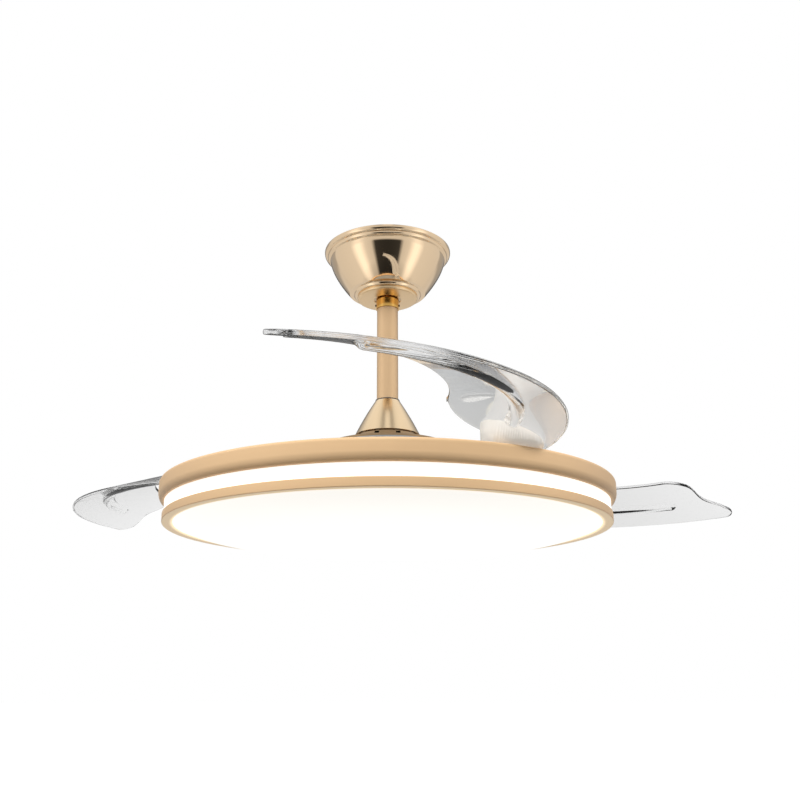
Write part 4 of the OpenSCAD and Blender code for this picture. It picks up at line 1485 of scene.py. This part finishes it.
class ScrewTree:
    """Geometry nodes that stand one socket screw on each point, along the point's aim."""

    SIDES = 32
    # Shares of the head's radius: its top, and the socket
    TAPER = 0.86
    SOCKET = 0.5
    SOCKET_SIDES = 6
    # Length of the socket's cutter as a share of the head's height, which it stands half out of
    SOCKET_LENGTH = 1.3
    # Height of the shank's middle over the head's seat, as a share of its length
    SHANK_MIDDLE = -0.5
    # How far the shank reaches into the head, so that the two join
    OVERLAP = 0.1 * MM

    def __init__(self) -> None:
        """Build the tree once."""
        tree = bpy.data.node_groups.new("screws", "GeometryNodeTree")
        sockets = tree.interface
        sockets.new_socket("Points", in_out="INPUT", socket_type="NodeSocketGeometry")
        self.keys = {
            label: sockets.new_socket(
                label, in_out="INPUT", socket_type="NodeSocketFloat"
            ).identifier
            for label in ("Head Radius", "Head Height", "Shank Radius", "Length")
        }
        self.material = sockets.new_socket(
            "Finish", in_out="INPUT", socket_type="NodeSocketMaterial"
        ).identifier
        sockets.new_socket("Screws", in_out="OUTPUT", socket_type="NodeSocketGeometry")
        given = add_node(tree, "NodeGroupInput")
        radius, height = given.outputs["Head Radius"], given.outputs["Head Height"]
        length = given.outputs["Length"]
        top_r, socket_r, socket_h, shank_z = (
            add_node(tree, "ShaderNodeMath", {0: size, 1: share}, operation="MULTIPLY").outputs[0]
            for size, share in (
                (radius, self.TAPER), (radius, self.SOCKET), (height, self.SOCKET_LENGTH),
                (length, self.SHANK_MIDDLE),
            )
        )
        shank_h = add_node(tree, "ShaderNodeMath", {0: length, 1: self.OVERLAP}, operation="ADD")
        head = add_node(
            tree,
            "GeometryNodeMeshCone",
            {
                "Vertices": self.SIDES,
                "Radius Bottom": radius,
                "Radius Top": top_r,
                "Depth": height,
            },
        )
        shank, socket = (
            self.pillar(tree, *sizes)
            for sizes in (
                (self.SIDES, given.outputs["Shank Radius"], shank_h.outputs[0], shank_z),
                (self.SOCKET_SIDES, socket_r, socket_h, height),
            )
        )
        whole = add_node(tree, "GeometryNodeMeshBoolean", operation="UNION")
        tree.links.new(head.outputs["Mesh"], whole.inputs["Mesh 2"])
        tree.links.new(shank, whole.inputs["Mesh 2"])
        screw = add_node(
            tree,
            "GeometryNodeMeshBoolean",
            {"Mesh 1": whole.outputs["Mesh"], "Mesh 2": socket},
            operation="DIFFERENCE",
        )
        aim = add_node(
            tree, "GeometryNodeInputNamedAttribute", {"Name": "aim"}, data_type="FLOAT_VECTOR"
        )
        turn = add_node(
            tree, "FunctionNodeAlignRotationToVector", {"Vector": aim.outputs[0]}, axis="Z"
        )
        stood = add_node(
            tree,
            "GeometryNodeInstanceOnPoints",
            {
                "Points": given.outputs["Points"],
                "Instance": screw.outputs["Mesh"],
                "Rotation": turn.outputs[0],
            },
        )
        real = add_node(tree, "GeometryNodeRealizeInstances", {0: stood.outputs[0]})
        painted = add_node(
            tree,
            "GeometryNodeSetMaterial",
            {"Geometry": real.outputs[0], "Material": given.outputs["Finish"]},
        )
        add_node(tree, "NodeGroupOutput", {"Screws": painted.outputs[0]})
        self.tree = tree

    @staticmethod
    def pillar(
        tree: bpy.types.NodeTree,
        sides: int,
        radius: bpy.types.NodeSocket,
        length: bpy.types.NodeSocket,
        middle: bpy.types.NodeSocket,
    ) -> bpy.types.NodeSocket:
        """Stand an upright prism on the screw's axis.

        Args:
            tree: the screw's tree.
            sides: how many sides it has.
            radius: its radius.
            length: its length.
            middle: the height of its middle.

        Returns:
            The prism's mesh.
        """
        prism = add_node(
            tree, "GeometryNodeMeshCylinder", {"Vertices": sides, "Radius": radius, "Depth": length}
        )
        lift = add_node(tree, "ShaderNodeCombineXYZ", {"Z": middle})
        moved = add_node(
            tree,
            "GeometryNodeTransform",
            {"Geometry": prism.outputs["Mesh"], "Translation": lift.outputs[0]},
        )
        return moved.outputs[0]

    def stand(self, node: str, finish: Finish) -> bpy.types.Object:
        """Stand screws in the places of a CAD node's solids.

        Args:
            node: the CAD node, one or more like screws.
            finish: what they are made of.

        Returns:
            The screws as one plain object.
        """
        found = [ScrewFit.of_island(*island) for island in islands(node)]
        size = found[0][0]
        points = [seat[:3] for _, seat in found]
        aims = np.array([seat[3:] for _, seat in found], np.float32)
        source = mesh_piece(node + "_points", points, [])
        data = source.data.attributes.new("aim", "FLOAT_VECTOR", "POINT")
        data.data.foreach_set("vector", aims.ravel())
        modifier = source.modifiers.new("screws", "NODES")
        modifier.node_group = self.tree
        sizes = (size.head_r, size.head_h, size.shank_r, size.length)
        for key, value in zip(self.keys.values(), sizes):
            modifier[key] = value
        modifier[self.material] = finish.material()
        return dress(bake(source, node + "_set"), body_of(node), finish, [node])


def islands(node: str) -> list[tuple[np.ndarray, np.ndarray]]:
    """Split a CAD node into its solids.

    Args:
        node: the CAD node.

    Returns:
        For each solid its points, and its faces' normals, each as long as its face is large.
    """
    work = bmesh.new()
    work.from_mesh(frame["nodes"][node].data)
    bmesh.ops.remove_doubles(work, verts=work.verts, dist=MERGE)
    work.verts.index_update()
    work.faces.index_update()
    left = set(work.faces)
    found = []
    while left:
        group, edge = set(), [min(left, key=lambda f: f.index)]
        while edge:
            face = edge.pop()
            if face not in group:
                group.add(face)
                edge += [near for side in face.edges for near in side.link_faces]
        left -= group
        faces = sorted(group, key=lambda f: f.index)
        points = sorted({vert for face in faces for vert in face.verts}, key=lambda v: v.index)
        found.append(
            (
                np.array([v.co[:] for v in points]),
                np.array([np.array(f.normal) * f.calc_area() for f in faces]),
            )
        )
    work.free()
    return sorted(found, key=lambda pair: tuple(np.round(pair[0].mean(axis=0), 5)))


def body_of(node: str) -> Body:
    """Return the rigid body that a CAD node belongs to."""
    bodies = frame["record"]["behaviour"]["bodies"]
    return next(body for body in Body if node in bodies[body.value])


# ---------------------------------------------------------------- stage


@dataclass(frozen=True)
class Lamp:
    """One soft round lamp that looks at the fan. Metres and watts."""

    name: str
    place: tuple[float, float, float]
    size: float
    power: float


@dataclass
class Studio:
    """Pale floor, soft lights and the photograph's camera, in metres."""

    floor_z: float = -1.7
    floor_half: float = 40.0
    floor_grey: float = 0.8
    floor_glow: float = 0.55
    camera_at: tuple[float, float, float] = (0.0, -1.130, -0.554)
    pitch: float = 16.93
    lens: float = 40.8
    sensor: float = 36.0
    shift_x: float = 0.0156
    far: float = 100.0
    aim_at: tuple[float, float, float] = (0.0, 0.0, -0.25)
    # The surround's own grey, and the light from it on what is matte, from above and from below
    surround_grey: float = 0.8
    high_level: float = 0.92
    low_level: float = 0.06
    # How often light may turn in all, inside clear pieces, and off shiny ones
    bounces: int = 16
    clear_bounces: int = 12
    shiny_bounces: int = 9
    lamps: tuple[Lamp, ...] = (
        Lamp("key_light", (-0.3, -2.1, 1.5), 1.3, 50.0),
        Lamp("left_light", (-2.2, -0.6, 1.1), 1.3, 16.0),
        Lamp("right_light", (2.2, -0.7, 1.1), 1.3, 16.0),
        Lamp("back_light", (-0.9, 2.2, 0.8), 1.6, 14.0),
    )
    # Brightness that polished metal sees round the horizon, by how far a direction points towards
    # the camera's side: 0 straight away from it, 1 straight towards it
    horizon: tuple[Point2, ...] = (
        (0.0, 0.06), (0.012, 0.10), (0.05, 0.50), (0.2, 0.62), (0.24, 1.0), (0.62, 1.1),
        (0.72, 1.5), (0.78, 1.5), (0.86, 1.1), (0.925, 1.0), (0.96, 0.95), (1.0, 0.95),
    )
    # The same below the horizon, where the pale floor runs on behind the fan
    low_horizon: tuple[Point2, ...] = (
        (0.0, 0.95), (0.2, 0.95), (0.24, 1.0), (0.62, 1.1), (0.72, 1.8), (0.78, 1.8),
        (0.86, 1.1), (0.925, 0.95), (0.955, 0.06), (1.0, 0.04),
    )
    # The same overhead, by the distance left or right of the middle
    overhead: tuple[Point2, ...] = (
        (0.0, 1.25), (0.08, 1.2), (0.15, 0.62), (0.24, 0.66), (0.34, 1.15), (0.5, 1.3), (1.0, 1.1),
    )
    # Where one zone of the surround goes over into the next, by a direction's upward part
    dusk: Point2 = (-0.35, 0.2)
    horizon_blur: Point2 = (-0.06, 0.06)
    overhead_from: Point2 = (0.5, 0.75)
    under_from: Point2 = (-0.9, -0.6)
    under_level: float = 0.45

    def build(self) -> None:
        """Build the floor, the world, the lamps and the camera."""
        self.floor()
        self.world()
        for lamp in self.lamps:
            self.hang(lamp)
        self.camera()
        self.light_paths()

    def floor(self) -> None:
        """Lay the pale floor, which shines enough to read as white and still takes the shadow."""
        h, z, grey = self.floor_half, self.floor_z, self.floor_grey
        piece = mesh_piece(
            "studio_floor", [(-h, -h, z), (h, -h, z), (h, h, z), (-h, h, z)], [(0, 1, 2, 3)]
        )
        material = bpy.data.materials.new("pale_floor")
        material.use_nodes = True
        tree = material.node_tree
        tree.nodes.clear()
        rays = add_node(tree, "ShaderNodeLightPath")
        plain = add_node(tree, "ShaderNodeBsdfDiffuse", {"Color": (grey, grey, grey, 1)})
        white = add_node(
            tree, "ShaderNodeEmission", {"Color": (1, 1, 1, 1), "Strength": self.floor_glow}
        )
        both = add_node(tree, "ShaderNodeAddShader", {0: plain.outputs[0], 1: white.outputs[0]})
        seen = add_node(
            tree,
            "ShaderNodeMixShader",
            {0: rays.outputs["Is Camera Ray"], 1: plain.outputs[0], 2: both.outputs[0]},
        )
        add_node(tree, "ShaderNodeOutputMaterial", {0: seen.outputs[0]})
        piece.data.materials.append(material)
        piece.visible_glossy = False
        piece.visible_transmission = False
        piece.visible_diffuse = False

    def ramp(
        self, tree: bpy.types.NodeTree, value: bpy.types.NodeSocket, stops: Sequence[Point2]
    ) -> bpy.types.NodeSocket:
        """Read a brightness off a line of stops.

        Args:
            tree: the world's tree.
            value: where on the line to read.
            stops: place and brightness of each stop.

        Returns:
            The brightness.
        """
        peak = max(level for _, level in stops)
        node = add_node(tree, "ShaderNodeValToRGB", {0: value})
        bar = node.color_ramp
        while len(bar.elements) < len(stops):
            bar.elements.new(0.5)
        for element, (place, _) in zip(bar.elements, stops):
            element.position = place
        for element, (_, level) in zip(bar.elements, stops):
            element.color = (level / peak,) * 3 + (1.0,)
        scaled = add_node(
            tree, "ShaderNodeMath", {0: node.outputs[0], 1: peak}, operation="MULTIPLY"
        )
        return scaled.outputs[0]

    def world(self) -> None:
        """Make a white surround, with soft boxes and dark gaps for what shines."""
        world = bpy.data.worlds.new("studio")
        bpy.context.scene.world = world
        world.use_nodes = True
        tree = world.node_tree
        tree.nodes.clear()
        place = add_node(tree, "ShaderNodeTexCoord")
        way = place.outputs["Generated"]
        axes = add_node(tree, "ShaderNodeSeparateXYZ", {0: way})
        start, end = self.dusk
        level = add_node(
            tree,
            "ShaderNodeMapRange",
            {0: axes.outputs["Z"], 1: start, 2: end, 3: self.low_level, 4: self.high_level},
            interpolation_type="SMOOTHSTEP",
        )
        light, mirrored, white = (
            add_node(
                tree,
                "ShaderNodeBackground",
                {"Color": (grey, grey, grey, 1), "Strength": strength},
            )
            for grey, strength in (
                (self.surround_grey, level.outputs[0]),
                (self.surround_grey, self.shine_level(tree, way, axes)),
                (1.0, 1.0),
            )
        )
        # What is matte sees the soft light, what shines the soft boxes, and the rest plain white
        rays = add_node(tree, "ShaderNodeLightPath")
        seen = light
        for kind, shown in (
            ("Is Glossy Ray", mirrored), ("Is Transmission Ray", white), ("Is Camera Ray", white),
        ):
            seen = add_node(
                tree,
                "ShaderNodeMixShader",
                {0: rays.outputs[kind], 1: seen.outputs[0], 2: shown.outputs[0]},
            )
        add_node(tree, "ShaderNodeOutputWorld", {0: seen.outputs[0]})

    def shine_level(
        self, tree: bpy.types.NodeTree, way: bpy.types.NodeSocket, axes: bpy.types.Node
    ) -> bpy.types.NodeSocket:
        """Work out how bright the surround is for what shines.

        Args:
            tree: the world's tree.
            way: the direction that is looked in.
            axes: the same direction, split into its parts.

        Returns:
            The brightness.
        """
        flat = add_node(
            tree, "ShaderNodeVectorMath", {0: way, 1: (1, 1, 0)}, operation="MULTIPLY"
        )
        level_way = add_node(
            tree, "ShaderNodeVectorMath", {0: flat.outputs[0]}, operation="NORMALIZE"
        )
        level_axes = add_node(tree, "ShaderNodeSeparateXYZ", {0: level_way.outputs[0]})
        towards = add_node(
            tree, "ShaderNodeMapRange", {0: level_axes.outputs["Y"], 1: 1.0, 2: -1.0}
        )
        aside = add_node(tree, "ShaderNodeMath", {0: axes.outputs["X"]}, operation="ABSOLUTE")
        low, high, overhead = (
            self.ramp(tree, value.outputs[0], stops)
            for value, stops in (
                (towards, self.low_horizon), (towards, self.horizon), (aside, self.overhead),
            )
        )
        over, upwards, downwards = (
            add_node(
                tree,
                "ShaderNodeMapRange",
                {0: axes.outputs["Z"], 1: start, 2: end, 3: least, 4: 1.0},
            )
            for (start, end), least in (
                (self.horizon_blur, 0.0), (self.overhead_from, 0.0),
                (self.under_from, self.under_level),
            )
        )
        horizon = add_node(tree, "ShaderNodeMix", {0: over.outputs[0], 2: low, 3: high})
        sides = add_node(
            tree,
            "ShaderNodeMath",
            {0: horizon.outputs[0], 1: downwards.outputs[0]},
            operation="MULTIPLY",
        )
        shine = add_node(
            tree, "ShaderNodeMix", {0: upwards.outputs[0], 2: sides.outputs[0], 3: overhead}
        )
        return shine.outputs[0]

    def hang(self, lamp: Lamp) -> None:
        """Hang one lamp.

        Args:
            lamp: its place, size and power.
        """
        data = bpy.data.lights.new(lamp.name, "AREA")
        data.shape = "DISK"
        data.size = lamp.size
        data.energy = lamp.power
        hung = bpy.data.objects.new(lamp.name, data)
        hung.location = lamp.place
        aim = Vector(self.aim_at) - Vector(lamp.place)
        hung.rotation_euler = aim.to_track_quat("-Z", "Y").to_euler()
        hung.visible_camera = False
        hung.visible_transmission = False
        hung.visible_glossy = False
        bpy.context.scene.collection.objects.link(hung)

    def light_paths(self) -> None:
        """Let light turn often enough inside the clear blades for their edges to stay clear."""
        cycles = bpy.context.scene.cycles
        cycles.max_bounces = self.bounces
        cycles.transmission_bounces = self.clear_bounces
        cycles.glossy_bounces = self.shiny_bounces

    def camera(self) -> None:
        """Set the camera at the photograph's angle."""
        data = bpy.data.cameras.new("camera")
        data.sensor_width = self.sensor
        data.lens = self.lens
        data.shift_x = self.shift_x
        data.clip_end = self.far
        camera = bpy.data.objects.new("camera", data)
        camera.location = self.camera_at
        camera.rotation_euler = (math.radians(90 + self.pitch), 0.0, 0.0)
        bpy.context.scene.collection.objects.link(camera)
        bpy.context.scene.camera = camera
        bpy.context.scene.view_settings.view_transform = "Standard"


# ---------------------------------------------------------------- the fan


def main() -> None:
    """Build the looks of the fan, piece by piece, and then the studio."""
    logging.basicConfig(level=logging.INFO, format="%(name)s: %(message)s")
    lathe = LatheTree()
    CanopyAssembly().build(lathe)
    MotorTrim().build(lathe)
    LightBody().build(lathe)
    for number in BLADE_NUMBERS:
        Blade(number).build()
    screws = ScrewTree()
    for node, finish in SOCKET_SCREWS.items():
        screws.stand(node, finish)
    for node, finish in NODE_FINISHES.items():
        smooth_copy(node, finish)
    for number in BLADE_NUMBERS:
        for stem, finish in BLADE_NODE_FINISHES.items():
            smooth_copy(f"{stem}_{number}", finish)
    Studio().build()


if __name__ == "__main__":
    main()
